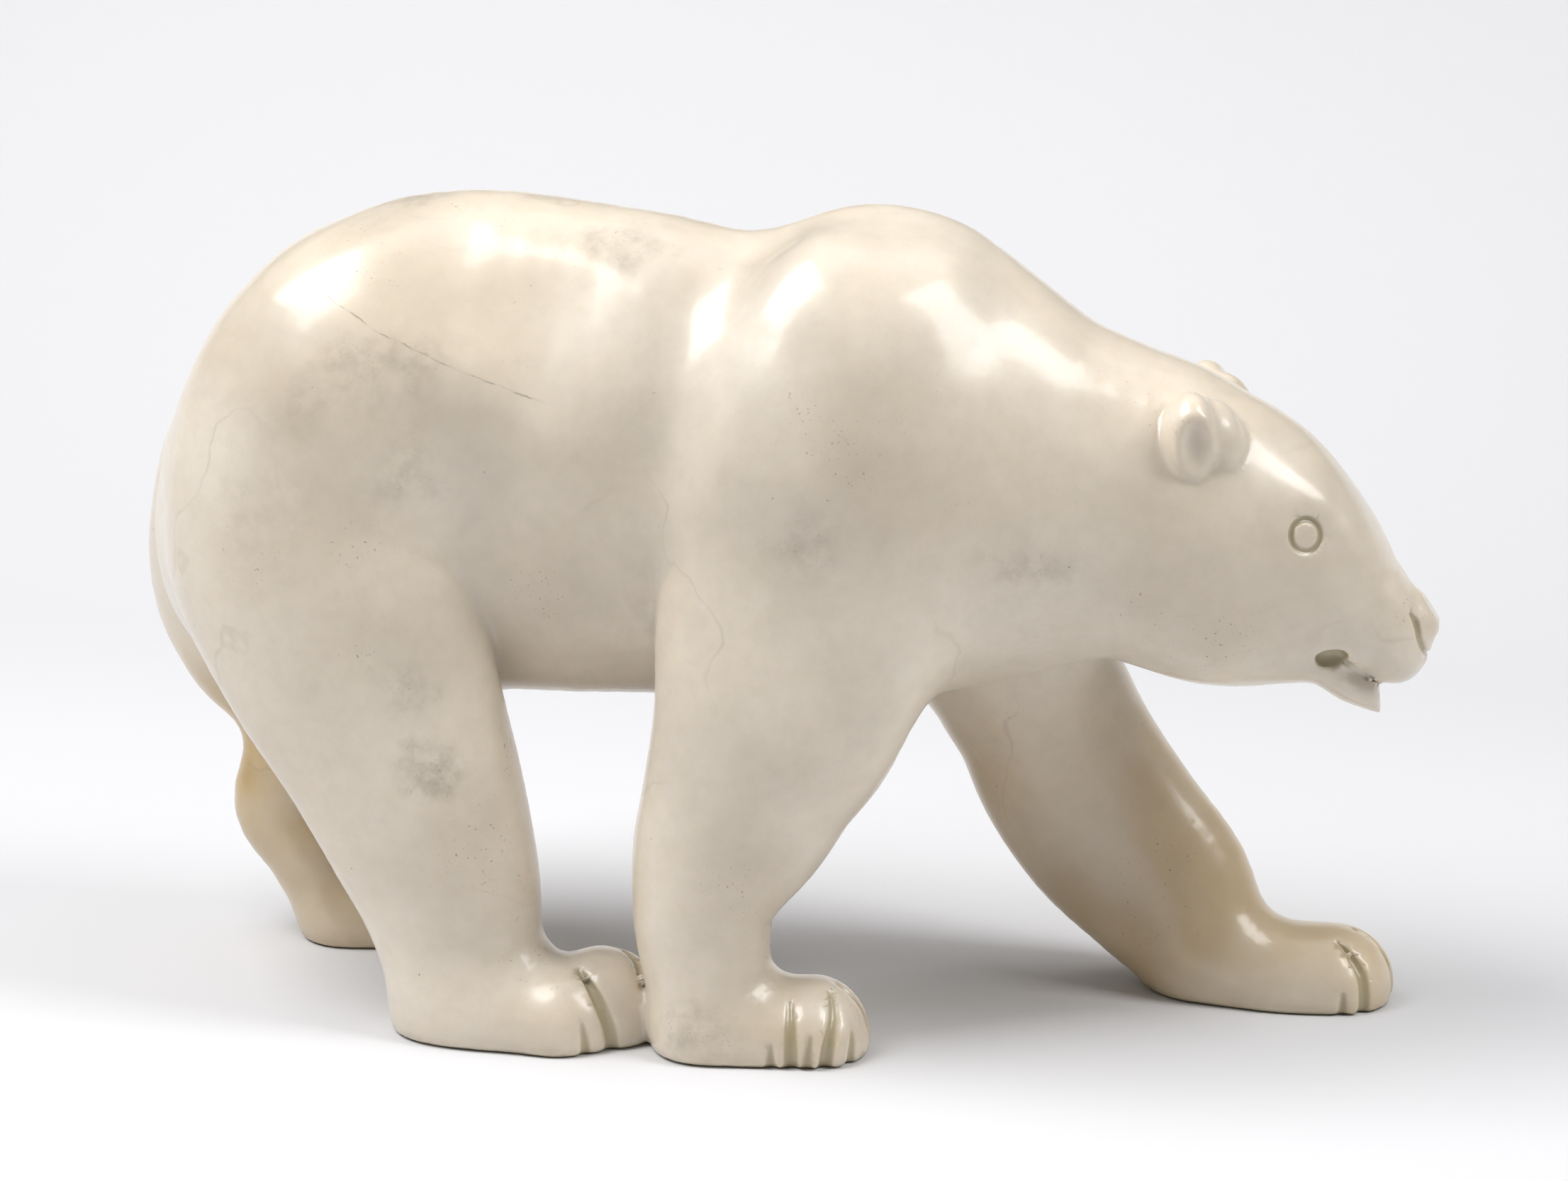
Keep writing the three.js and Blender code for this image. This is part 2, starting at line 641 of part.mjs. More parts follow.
// Splitting: each edge with both ends in a fine place gets a point in its middle, which is
// then settled on the surface together with the ends.
function refine({ points, triangles }, field, round) {
  const at = (v) => [points[v * 3], points[v * 3 + 1], points[v * 3 + 2]];
  const fine = [];
  for (let v = 0; v < points.length / 3; v++) fine.push(finePlace(...at(v)).splits > round);
  const middles = new Map();
  const middle = (a, b) => {
    if (!fine[a] || !fine[b]) return -1;
    const key = a < b ? a * fine.length + b : b * fine.length + a;
    if (!middles.has(key)) {
      const [p, q] = [at(a), at(b)];
      middles.set(key, points.length / 3);
      points.push((p[0] + q[0]) / 2, (p[1] + q[1]) / 2, (p[2] + q[2]) / 2);
    }
    return middles.get(key);
  };
  const split = [];
  for (let f = 0; f < triangles.length; f += 3) {
    let [a, b, c] = [triangles[f], triangles[f + 1], triangles[f + 2]];
    for (let turn = 0; turn < 2 && !(fine[a] && fine[b]); turn++) [a, b, c] = [b, c, a];
    const ab = middle(a, b);
    const bc = middle(b, c);
    const ca = middle(c, a);
    if (ab < 0) split.push(a, b, c);
    else if (bc < 0) split.push(a, ab, c, ab, b, c);
    else split.push(a, ab, ca, ab, b, bc, ca, bc, c, ab, bc, ca);
  }
  const point = new THREE.Vector3();
  for (let v = 0; v < points.length / 3; v++) {
    if (v < fine.length && !fine[v]) continue;
    point.set(...at(v));
    settle(field, point, 3);
    [points[v * 3], points[v * 3 + 1], points[v * 3 + 2]] = point.toArray();
  }
  return { points, triangles: split };
}

// Thinning: the edge whose loss changes the surface least is drawn together into one
// point, again and again. Each point carries the sum of the squared planes round it.
function thin({ points, triangles }, wanted) {
  const count = points.length / 3;
  const planes = new Float64Array(count * 10);
  const fans = Array.from({ length: count }, () => []);
  const stamps = new Int32Array(count);
  const gone = new Uint8Array(triangles.length / 3);

  function normal(a, b, c) {
    const ux = points[b * 3] - points[a * 3];
    const uy = points[b * 3 + 1] - points[a * 3 + 1];
    const uz = points[b * 3 + 2] - points[a * 3 + 2];
    const vx = points[c * 3] - points[a * 3];
    const vy = points[c * 3 + 1] - points[a * 3 + 1];
    const vz = points[c * 3 + 2] - points[a * 3 + 2];
    return [uy * vz - uz * vy, uz * vx - ux * vz, ux * vy - uy * vx];
  }
  for (let f = 0; f < gone.length; f++) {
    const [a, b, c] = [triangles[f * 3], triangles[f * 3 + 1], triangles[f * 3 + 2]];
    const n = normal(a, b, c);
    const size = Math.hypot(...n) || 1;
    const weight = size * finePlace(points[a * 3], points[a * 3 + 1], points[a * 3 + 2]).care;
    const [p, q, r] = n.map((v) => v / size);
    const s = -(p * points[a * 3] + q * points[a * 3 + 1] + r * points[a * 3 + 2]);
    const square = [p * p, p * q, p * r, p * s, q * q, q * r, q * s, r * r, r * s, s * s];
    for (const v of [a, b, c]) {
      fans[v].push(f);
      for (let i = 0; i < 10; i++) planes[v * 10 + i] += square[i] * weight;
    }
  }

  const q = new Float64Array(10);
  const error = (x, y, z) =>
    q[0] * x * x + 2 * q[1] * x * y + 2 * q[2] * x * z + 2 * q[3] * x + q[4] * y * y +
    2 * q[5] * y * z + 2 * q[6] * y + q[7] * z * z + 2 * q[8] * z + q[9];

  // The best place for the point that replaces edge a-b, and what the change costs
  function merger(a, b) {
    for (let i = 0; i < 10; i++) q[i] = planes[a * 10 + i] + planes[b * 10 + i];
    const ax = points[a * 3];
    const ay = points[a * 3 + 1];
    const az = points[a * 3 + 2];
    const bx = points[b * 3];
    const by = points[b * 3 + 1];
    const bz = points[b * 3 + 2];
    const length = (ax - bx) ** 2 + (ay - by) ** 2 + (az - bz) ** 2;
    const mx = (ax + bx) / 2;
    const my = (ay + by) / 2;
    const mz = (az + bz) / 2;
    // a light pull towards the middle keeps the place near the edge on flat ground
    const pull = 1e-3 * (q[0] + q[4] + q[7]) + 1e-12;
    const c0 = q[0] + pull;
    const c4 = q[4] + pull;
    const c7 = q[7] + pull;
    const r0 = pull * mx - q[3];
    const r1 = pull * my - q[6];
    const r2 = pull * mz - q[8];
    const m0 = c4 * c7 - q[5] * q[5];
    const m1 = q[2] * q[5] - q[1] * c7;
    const m2 = q[1] * q[5] - c4 * q[2];
    const volume = c0 * m0 + q[1] * m1 + q[2] * m2;
    let x = (m0 * r0 + m1 * r1 + m2 * r2) / volume;
    let y = (m1 * r0 + (c0 * c7 - q[2] * q[2]) * r1 + (q[1] * q[2] - c0 * q[5]) * r2) / volume;
    let z = (m2 * r0 + (q[1] * q[2] - c0 * q[5]) * r1 + (c0 * c4 - q[1] * q[1]) * r2) / volume;
    if (!((x - mx) ** 2 + (y - my) ** 2 + (z - mz) ** 2 < 4 * length)) [x, y, z] = [mx, my, mz];
    return { a, b, x, y, z, cost: error(x, y, z) + 1e-4 * length * length, stamp: stamps[a] + stamps[b] };
  }

  const heap = [];
  function push(entry) {
    let i = heap.push(entry) - 1;
    while (i > 0) {
      const up = (i - 1) >> 1;
      if (heap[up].cost <= entry.cost) break;
      heap[i] = heap[up];
      i = up;
    }
    heap[i] = entry;
  }
  function pop() {
    const first = heap[0];
    const last = heap.pop();
    if (heap.length === 0) return first;
    let i = 0;
    for (;;) {
      let down = i * 2 + 1;
      if (down >= heap.length) break;
      if (down + 1 < heap.length && heap[down + 1].cost < heap[down].cost) down++;
      if (heap[down].cost >= last.cost) break;
      heap[i] = heap[down];
      i = down;
    }
    heap[i] = last;
    return first;
  }

  const neighbours = (v) => {
    const found = new Set();
    for (const f of fans[v]) {
      for (let i = 0; i < 3; i++) if (triangles[f * 3 + i] !== v) found.add(triangles[f * 3 + i]);
    }
    return found;
  };
  // Whether moving v to the new place would fold any triangle that stays
  function folds(v, other, x, y, z) {
    const kept = [points[v * 3], points[v * 3 + 1], points[v * 3 + 2]];
    for (const f of fans[v]) {
      const [a, b, c] = [triangles[f * 3], triangles[f * 3 + 1], triangles[f * 3 + 2]];
      if (a === other || b === other || c === other) continue;
      const before = normal(a, b, c);
      [points[v * 3], points[v * 3 + 1], points[v * 3 + 2]] = [x, y, z];
      const after = normal(a, b, c);
      [points[v * 3], points[v * 3 + 1], points[v * 3 + 2]] = kept;
      const dot = before[0] * after[0] + before[1] * after[1] + before[2] * after[2];
      if (dot < 0.3 * Math.hypot(...before) * Math.hypot(...after) || Math.hypot(...after) < 1e-4) return true;
    }
    return false;
  }

  for (let f = 0; f < gone.length; f++) {
    for (let i = 0; i < 3; i++) {
      const a = triangles[f * 3 + i];
      const b = triangles[f * 3 + ((i + 1) % 3)];
      if (a < b) push(merger(a, b));
    }
  }
  let left = gone.length;
  while (left > wanted && heap.length > 0) {
    const { a, b, x, y, z, stamp } = pop();
    if (stamps[a] < 0 || stamps[b] < 0 || stamps[a] + stamps[b] !== stamp) continue;
    const round = neighbours(b);
    let shared = 0;
    for (const v of neighbours(a)) if (round.has(v)) shared++;
    if (shared !== 2 || folds(a, b, x, y, z) || folds(b, a, x, y, z)) continue;
    for (const f of fans[b]) {
      const corners = [triangles[f * 3], triangles[f * 3 + 1], triangles[f * 3 + 2]];
      if (corners.includes(a)) {
        gone[f] = 1;
        left--;
        for (const v of corners) if (v !== b) fans[v] = fans[v].filter((g) => g !== f);
      } else {
        triangles[f * 3 + corners.indexOf(b)] = a;
        fans[a].push(f);
      }
    }
    [points[a * 3], points[a * 3 + 1], points[a * 3 + 2]] = [x, y, z];
    for (let i = 0; i < 10; i++) planes[a * 10 + i] += planes[b * 10 + i];
    stamps[b] = -1;
    fans[b] = [];
    stamps[a] += 1;
    for (const v of neighbours(a)) push(merger(a, v));
  }

  const renumbered = new Int32Array(count).fill(-1);
  const kept = { points: [], triangles: [] };
  for (let f = 0; f < gone.length; f++) {
    if (gone[f]) continue;
    for (let i = 0; i < 3; i++) {
      const v = triangles[f * 3 + i];
      if (renumbered[v] < 0) {
        renumbered[v] = kept.points.length / 3;
        kept.points.push(points[v * 3], points[v * 3 + 1], points[v * 3 + 2]);
      }
      kept.triangles.push(renumbered[v]);
    }
  }
  return kept;
}

// The finished stone: the soles are sawn flat at the ground, and the bear is set down
// with the middle of its bounding box over the origin.
const manifold = await Module();
manifold.setup();

function solid(points, triangles) {
  return new manifold.Manifold(
    new manifold.Mesh({
      numProp: 3,
      vertProperties: new Float32Array(points),
      triVerts: new Uint32Array(triangles),
    }),
  );
}

const underfoot = -6 * u; // the stone ends here, below the ground it is sawn off at
const low = [-214 * u, -70 * u, underfoot - 3 * u];
const high = [194 * u, 70 * u, 242 * u];
const dug = (x, y, z) => Math.max(bear(x, y, z), underfoot - z);
let net = drawNet(dug, low, high, NET_CELL * u);
for (let round = 0; round < Math.max(...FINE_PLACES.map((place) => place[4])); round++) net = refine(net, dug, round);
net = thin(net, TRIANGLES);
const block = new THREE.BoxGeometry(500 * u, 300 * u, 60 * u).translate(0, 0, -30 * u);
block.deleteAttribute("normal");
block.deleteAttribute("uv");
const ground = mergeVertices(block);
const standing = solid(net.points, net.triangles).subtract(
  solid(ground.attributes.position.array, ground.index.array),
);
const sawn = standing.getMesh();

const geometry = new THREE.BufferGeometry();
geometry.setAttribute("position", new THREE.BufferAttribute(new Float32Array(sawn.vertProperties), 3));
geometry.setIndex([...sawn.triVerts]);
geometry.computeBoundingBox();
const middle = geometry.boundingBox.getCenter(new THREE.Vector3());
geometry.translate(-middle.x, -middle.y, 0);
geometry.computeVertexNormals();

const alabaster = new THREE.MeshStandardMaterial({ color: 0xe6dccd, roughness: 0.3, metalness: 0 });
const polarBear = new THREE.Mesh(geometry, alabaster);
polarBear.name = "polar_bear";
const sculpture = new THREE.Group();
sculpture.name = "polar_bear_sculpture";
sculpture.add(polarBear);
export default sculpture;
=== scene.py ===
# An alabaster carving of a polar bear that walks with its head low.
# The object is in metres: +X is the way the bear walks, +Y its left side, +Z up.

import math

import bpy
import numpy as np
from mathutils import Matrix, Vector


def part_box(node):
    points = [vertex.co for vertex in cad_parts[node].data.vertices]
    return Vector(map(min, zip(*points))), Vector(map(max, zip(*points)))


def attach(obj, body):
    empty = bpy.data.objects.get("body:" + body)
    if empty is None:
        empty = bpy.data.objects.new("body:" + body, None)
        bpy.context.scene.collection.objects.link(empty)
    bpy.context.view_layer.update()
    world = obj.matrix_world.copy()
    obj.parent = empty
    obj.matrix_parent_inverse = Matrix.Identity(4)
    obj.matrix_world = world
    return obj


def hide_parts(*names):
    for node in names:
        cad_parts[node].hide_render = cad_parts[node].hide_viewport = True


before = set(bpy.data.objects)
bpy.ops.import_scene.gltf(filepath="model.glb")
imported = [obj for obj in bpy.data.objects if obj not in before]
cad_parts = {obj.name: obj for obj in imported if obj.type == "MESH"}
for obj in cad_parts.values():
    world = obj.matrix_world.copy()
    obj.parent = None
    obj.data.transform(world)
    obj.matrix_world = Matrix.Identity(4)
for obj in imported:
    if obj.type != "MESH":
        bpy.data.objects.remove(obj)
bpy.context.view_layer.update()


# The bear
# One solid of cream alabaster with grey clouding and fine veins. It was roughed out, gouged
# at the toes, mouth and nose, bored with a tube drill round the eyes, then rubbed smooth and
# waxed. The form is built up here like clay, in millimetres, and the cuts are taken out of it.

MM = 0.001
CELL = 2.1
EYE_RING_RADIUS = 4.35
EYE_RING_WIDTH = 1.9
TOE_CUT_WIDTH = 3.4
# how far each kind of edge is rounded
SOLE_EDGE = 2.4
EAR_EDGE = 2
TOE_EDGE = 1.6
MOUTH_EDGE = 1.1
FACE_LINE_EDGE = 0.6
# the waves that hand rubbing leaves, and the turn from one to the next
WAVES = 9
WAVE_HEIGHT = 0.05
WAVE_TURN = 2.39996
# points are read this many at a time
BATCH = 20000


def join(a, b, reach):
    """Blends two forms; reach is how far the blend spreads."""
    h = np.maximum(reach - np.abs(a - b), 0) / reach
    return np.minimum(a, b) - h * h * reach / 4


def cut(a, b, reach):
    """Takes form b out of form a, with its edges softened over reach."""
    return -join(-a, b, reach)


def fade(low, high, value):
    """0 below low, 1 above high, and a smooth rise between."""
    t = np.clip((value - low) / (high - low), 0, 1)
    return t * t * (3 - 2 * t)


def oval(p, q, r, a, b, c):
    """Distance to an oval whose half sizes are a, b and c along its own axes."""
    pa = p / a
    qb = q / b
    rc = r / c
    near = np.sqrt(pa * pa + qb * qb + rc * rc + 1e-8)
    pa /= a
    qb /= b
    rc /= c
    return near * (near - 1) / np.sqrt(pa * pa + qb * qb + rc * rc + 1e-12)


def unit(rows):
    return rows / np.linalg.norm(rows, axis=-1, keepdims=True)


def outside_box(low, high, x, y, z):
    ox = np.maximum(np.maximum(low[0] - x, x - high[0]), 0)
    oy = np.maximum(np.maximum(low[1] - y, y - high[1]), 0)
    oz = np.maximum(np.maximum(low[2] - z, z - high[2]), 0)
    return np.sqrt(ox * ox + oy * oy + oz * oz)


def egg(centre, halves, pitch=0, turn=0):
    """An ellipsoid pitched nose down, then turned about the upright, both in degrees."""
    pitch = math.radians(pitch)
    turn = math.radians(turn)
    level = math.cos(pitch)
    steep = math.sin(pitch)
    tip = np.array([[level, 0, steep], [0, 1, 0], [-steep, 0, level]])
    spin = np.array([[math.cos(turn), -math.sin(turn), 0], [math.sin(turn), math.cos(turn), 0], [0, 0, 1]])
    m = (spin @ tip).astype(np.float32)

    def distance(x, y, z):
        p = x - centre[0]
        q = y - centre[1]
        r = z - centre[2]
        return oval(
            p * m[0, 0] + q * m[1, 0] + r * m[2, 0],
            p * m[0, 1] + q * m[1, 1] + r * m[2, 1],
            p * m[0, 2] + q * m[1, 2] + r * m[2, 2],
            *halves,
        )

    return distance


def along_spline(stations, shares):
    """Places on a smooth path through the stations; a share of 0 is its start and 1 its end."""
    stations = np.asarray(stations, float)
    last = len(stations) - 1
    padded = np.vstack([2 * stations[0] - stations[1], stations, 2 * stations[-1] - stations[-2]])
    at = np.clip(np.asarray(shares) * last, 0, last)
    first = np.minimum(at.astype(int), last - 1)
    w = (at - first)[:, None]
    before, start, end, after = (padded[first + i] for i in range(4))
    middle = np.sqrt(np.linalg.norm(end - start, axis=1))[:, None]
    middle = np.where(middle < 1e-4, 1, middle)
    left = np.sqrt(np.linalg.norm(start - before, axis=1))[:, None]
    left = np.where(left < 1e-4, middle, left)
    right = np.sqrt(np.linalg.norm(after - end, axis=1))[:, None]
    right = np.where(right < 1e-4, middle, right)
    leaving = (start - before) / left - (end - before) / (left + middle) + (end - start) / middle
    arriving = (end - start) / middle - (after - start) / (middle + right) + (after - end) / right
    leaving *= middle
    arriving *= middle
    bend = 3 * (end - start) - 2 * leaving - arriving
    twist = 2 * (start - end) + leaving + arriving
    return start + w * (leaving + w * (bend + w * twist))


def sweep(stations, steps=5):
    """An oval drawn through stations [x, y, z, half width across, half depth]."""
    stations = np.array(stations, float)
    count = (len(stations) - 1) * steps
    shares = np.arange(count + 1) / count
    at = along_spline(stations[:, :3], shares)
    ahead = along_spline(stations[:, :3], np.minimum(shares + 0.5 / count, 1))
    behind = along_spline(stations[:, :3], np.maximum(shares - 0.5 / count, 0))
    along = unit(ahead - behind)
    across = unit(np.array([0, 1, 0]) - along * along[:, 1:2])
    deep = np.cross(along, across)
    sizes = along_spline(stations[:, 3:5], shares)
    cap = sizes.max(axis=1)
    low = (at - cap[:, None]).min(axis=0)
    high = (at + cap[:, None]).max(axis=0)
    cap[[0, -1]] = sizes[[0, -1]].min(axis=1)
    rings = np.hstack([at, along, across, deep, sizes, cap[:, None]]).astype(np.float32)

    def distance(x, y, z):
        outside = outside_box(low, high, x, y, z)
        near = np.flatnonzero(outside <= 24)
        if not near.size:
            return outside
        nx = x[near]
        ny = y[near]
        nz = z[near]
        best = np.full(near.size, np.inf, np.float32)
        for a, b in zip(rings[:-1], rings[1:]):
            step = b[:3] - a[:3]
            px = nx - a[0]
            py = ny - a[1]
            pz = nz - a[2]
            t = np.clip((px * step[0] + py * step[1] + pz * step[2]) / (step @ step), 0, 1)
            px -= t * step[0]
            py -= t * step[1]
            pz -= t * step[2]
            turn = b[3:] - a[3:]
            found = oval(
                px * (a[3] + turn[0] * t) + py * (a[4] + turn[1] * t) + pz * (a[5] + turn[2] * t),
                px * (a[6] + turn[3] * t) + py * (a[7] + turn[4] * t) + pz * (a[8] + turn[5] * t),
                px * (a[9] + turn[6] * t) + py * (a[10] + turn[7] * t) + pz * (a[11] + turn[8] * t),
                a[14] + turn[11] * t,
                a[12] + turn[9] * t,
                a[13] + turn[10] * t,
            )
            np.minimum(best, found, out=best)
        outside[near] = best
        return outside

    return distance


def links(points, radii, far):
    """Distance to a chain of round links. Beyond far it may read short."""
    points = np.asarray(points, np.float32)
    radii = np.asarray(radii, np.float32)
    low = (points - radii[:, None]).min(axis=0)
    high = (points + radii[:, None]).max(axis=0)

    def distance(x, y, z):
        outside = outside_box(low, high, x, y, z)
        near = np.flatnonzero(outside <= far)
        best = np.full(near.size, np.inf, np.float32)
        for a, b, ra, rb in zip(points[:-1], points[1:], radii[:-1], radii[1:]):
            step = b - a
            px = x[near] - a[0]
            py = y[near] - a[1]
            pz = z[near] - a[2]
            t = np.clip((px * step[0] + py * step[1] + pz * step[2]) / (step @ step), 0, 1)
            px -= t * step[0]
            py -= t * step[1]
            pz -= t * step[2]
            found = np.sqrt(px * px + py * py + pz * pz) - ra - (rb - ra) * t
            np.minimum(best, found, out=best)
        outside[near] = best
        return outside

    return distance


# The trunk, from the rump to the root of the neck, with hips and shoulders laid on it
trunk = sweep([
    [-133, 0, 130, 38, 54],
    [-119, 0, 150, 46, 61.5],
    [-94, 0, 161, 49, 72],
    [-60, 0, 161, 48, 70.5],
    [-18, 0, 158, 45, 66.5],
    [22, 0, 158, 45, 64],
    [48, 0, 156, 42, 55],
])
hump = egg([31, 0, 204], [33, 18, 27], 4)
neck = sweep([
    [42, 0, 158, 42, 55],
    [72, 0, 153.5, 38, 45.5],
    [96, 0, 155.5, 34, 39],
    [112, 0, 147, 32, 38],
])
hips_and_shoulders = [
    egg([-106, -24, 175.5], [42, 27, 40], 12),
    egg([-115, 24, 175.5], [41, 27, 41], -2),
    egg([17, -25, 174], [36, 25, 46], 10),
    egg([30, 25, 172], [36, 25, 46], -6),
]
blades = [
    egg([13, -19, 202], [13, 14, 18], 10),
    egg([47, -16, 202], [12, 13, 16], -16),
    egg([18, 19, 202], [13, 14, 18], 8),
    egg([51, 16, 200], [12, 13, 16], -16),
]


def body(x, y, z):
    stone = trunk(x, y, z)
    stone = join(stone, hump(x, y, z), 20)
    stone = join(stone, neck(x, y, z), 20)
    for form in hips_and_shoulders:
        stone = join(stone, form(x, y, z), 16)
    for blade in blades:
        stone = join(stone, blade(x, y, z), 14)
    return stone


# The head
skull = sweep([
    [104, 0, 146, 32, 36],
    [122, 0, 142.5, 31, 35],
    [138, 0, 137.5, 26, 33.2],
    [151, 0, 129.5, 20.5, 23.5],
    [162, 0, 124, 16.5, 17.5],
    [170, 0, 119, 13.5, 12.5],
])
jowl = egg([124, 0, 124], [26, 25, 22.5])
lip = egg([171.8, 0, 112.2], [8.2, 12.5, 8.6])
nose_pad = egg([175.5, 0, 120.5], [9.8, 8, 9.8])
jaw = sweep([
    [138, 0, 112, 17, 8.5],
    [151, 0, 109, 13, 6.5],
    [160, 0, 103.4, 9.6, 6],
    [169, 0, 99.2, 4, 5],
])
brows = [egg([143, -15.5, 157], [9, 5, 5], 25), egg([143, 15.5, 157], [9, 5, 5], 25)]


def flat(through, facing):
    """A flat rubbed face: reads below 0 in the stone to be taken away beyond it."""
    tilt = math.radians(facing)
    across = np.float32(math.cos(tilt))
    up = np.float32(math.sin(tilt))
    return lambda x, z: -((x - through[0]) * across + (z - through[1]) * up)


# The bridge of the nose, the front of the nose pad and the front of the jaw are flat
bridge = flat([151.5, 169.9], 33.3)
nose_front = flat([184.3, 119.7], -35.4)
jaw_front = flat([168.5, 94.9], 7.6)


def face(x, y, z):
    head = join(skull(x, y, z), jowl(x, y, z), 10)
    head = join(head, lip(x, y, z), 4)
    for brow in brows:
        head = join(head, brow(x, y, z), 6)
    head = cut(head, bridge(x, z), 7)
    nose = cut(cut(nose_pad(x, y, z), bridge(x, z), 2), nose_front(x, z), 2)
    head = join(head, nose, 1.5)
    return join(head, cut(jaw(x, y, z), jaw_front(x, z), 1.5), 3)


# Each ear is a rounded cup whose front rim flares into the head
def ear(side):
    cup = egg([115.8, 27 * side, 175], [7.4, 10.5, 12.4], 0, -18 * side)
    flare = egg([123, 21.5 * side, 173], [7.4, 8.4, 12], -16, -10 * side)
    return lambda x, y, z: join(cup(x, y, z), flare(x, y, z), 3)


ears = [ear(-1), ear(1)]

# The legs, from inside the trunk down into the ground
near_hind = sweep([
    [-118, -22, 188, 24, 32],
    [-124, -26, 168, 28, 40],
    [-126, -30, 150, 28, 42.5],
    [-123, -34, 130, 26.5, 43.5],
    [-114.5, -37, 105, 24.5, 39],
    [-104, -39, 82, 22, 34],
    [-95, -41, 60, 20.5, 30.5],
    [-89, -41, 43, 19, 27],
    [-86, -41, 28, 18, 24],
    [-82, -41, 6, 17.5, 22],
])
near_hind_foot = sweep([
    [-86, -41, 6, 17, 16],
    [-70, -42, 5, 19.5, 18],
    [-55, -43, 4, 20, 18.5],
])
near_hind_toes = egg([-45, -37, 5], [18, 18.5, 19.5])
near_front = sweep([
    [20, -22, 188, 24, 34],
    [18, -26, 168, 28, 39],
    [15, -30, 150, 27, 41],
    [11.5, -34, 125, 25.5, 40.5],
    [7, -38, 100, 24, 35.5],
    [0.5, -40, 83, 22, 30.5],
    [-5.5, -41, 67, 20.5, 27],
    [-11.5, -41.5, 54, 19.5, 23],
    [-14.5, -42, 43, 18.5, 20],
    [-14.5, -42, 32, 18, 19],
    [-13, -42, 8, 18, 16],
])
near_front_foot = sweep([
    [-12, -42, 4, 18, 15],
    [2, -41.5, 4, 19, 16],
    [15.5, -41, 4, 18.5, 17],
])
far_front = sweep([
    [36, 20, 176, 26, 40],
    [42, 26, 150, 26, 40],
    [53, 32, 120, 25, 36],
    [63.5, 36, 93, 23, 28],
    [71, 38, 79, 22, 27.5],
    [78.5, 38, 63.5, 20.5, 28.5],
    [90, 38, 47, 19.5, 28.5],
    [107, 37, 29, 18.5, 26],
    [119, 34, 14, 18, 20],
])
far_front_foot = sweep([
    [122, 35, 5, 17, 16],
    [142, 33, 4, 20, 17.5],
    [157, 33, 4, 19, 17.5],
])
far_thigh = sweep([
    [-118, 22, 176, 26, 36],
    [-136, 28, 155, 28, 45],
    [-146, 33, 134, 27, 53],
    [-149, 36, 112, 25, 53],
    [-140, 37, 96, 22, 43],
])
far_shin = sweep([
    [-112, 36, 102, 20, 26],
    [-132, 38, 80, 18, 25],
    [-152, 38, 57, 17, 20],
    [-161.5, 37, 41, 16, 17],
    [-154, 36, 26, 15.5, 14],
    [-142, 37, 6, 16, 14],
])
far_hind_foot = sweep([
    [-142, 37, 4, 16, 14],
    [-122, 38, 4, 18, 15],
])


# A leg's crease against the trunk is crisp where the belly passes behind it, and fades
# out over the haunch, the shoulder and the chest.
def walking_bear(x, y, z):
    stone = join(body(x, y, z), face(x, y, z), 14)
    for form in ears:
        stone = join(stone, form(x, y, z), 1.6)
    high = fade(128, 168, z)
    rearwards = 1 - fade(-130, -98, x)
    forwards = fade(0, 34, x)
    hind = join(near_hind(x, y, z), near_hind_foot(x, y, z), 10)
    hind = join(hind, near_hind_toes(x, y, z), 3)
    stone = join(stone, hind, 2 + 16 * np.maximum(high, rearwards))
    front = join(near_front(x, y, z), near_front_foot(x, y, z), 10)
    stone = join(stone, front, 2 + 16 * np.maximum(high, forwards))
    reaching = join(far_front(x, y, z), far_front_foot(x, y, z), 10)
    stone = join(stone, reaching, 4 + 14 * high)
    pushing = join(far_thigh(x, y, z), far_shin(x, y, z), 12)
    pushing = join(pushing, far_hind_foot(x, y, z), 10)
    return join(stone, pushing, 4 + 14 * np.maximum(high, rearwards))


def settle(field, points, tries, most=1.0):
    """Moves points onto a field's surface, and returns them with the way out of the stone."""
    points = np.array(points, np.float32)
    nudge = 0.1
    for _ in range(tries):
        slope = np.empty_like(points)
        here = field(*points.T)
        for axis in range(3):
            moved = points.copy()
            moved[:, axis] += nudge
            slope[:, axis] = (field(*moved.T) - here) / nudge
        size = np.maximum((slope * slope).sum(axis=1), 0.25)
        points -= slope * np.clip(here / size, -most, most)[:, None]
    return points, unit(slope)


def groove(points):
    """A groove cut by a round gouge along points [x, y, z, gouge radius] of the surface."""
    points = np.array(points, float)
    bed, _ = settle(walking_bear, points[:, :3], 8, 20)
    steps = (len(points) - 1) * 3
    shares = np.arange(steps + 1) / steps
    radii = np.interp(shares * (len(points) - 1), np.arange(len(points)), points[:, 3])
    return links(along_spline(bed, shares), radii, 12)


def ring(centre, radius, width):
    """A ring bored round a point of the surface by a tube drill."""
    point, out = settle(walking_bear, [centre], 8, 20)
    point = point[0]
    out = out[0]

    def distance(x, y, z):
        px = x - point[0]
        py = y - point[1]
        pz = z - point[2]
        height = px * out[0] + py * out[1] + pz * out[2]
        round_it = np.sqrt(np.maximum(px * px + py * py + pz * pz - height * height, 0))
        return np.hypot(round_it - radius, height) - width / 2

    return distance


def press(points, spread, depth):
    """A soft hollow along a path; its depth fades over the spread."""
    line = links(points, np.zeros(len(points)), 3 * spread)
    return lambda x, y, z: depth * np.exp(-0.5 * (line(x, y, z) / spread) ** 2)


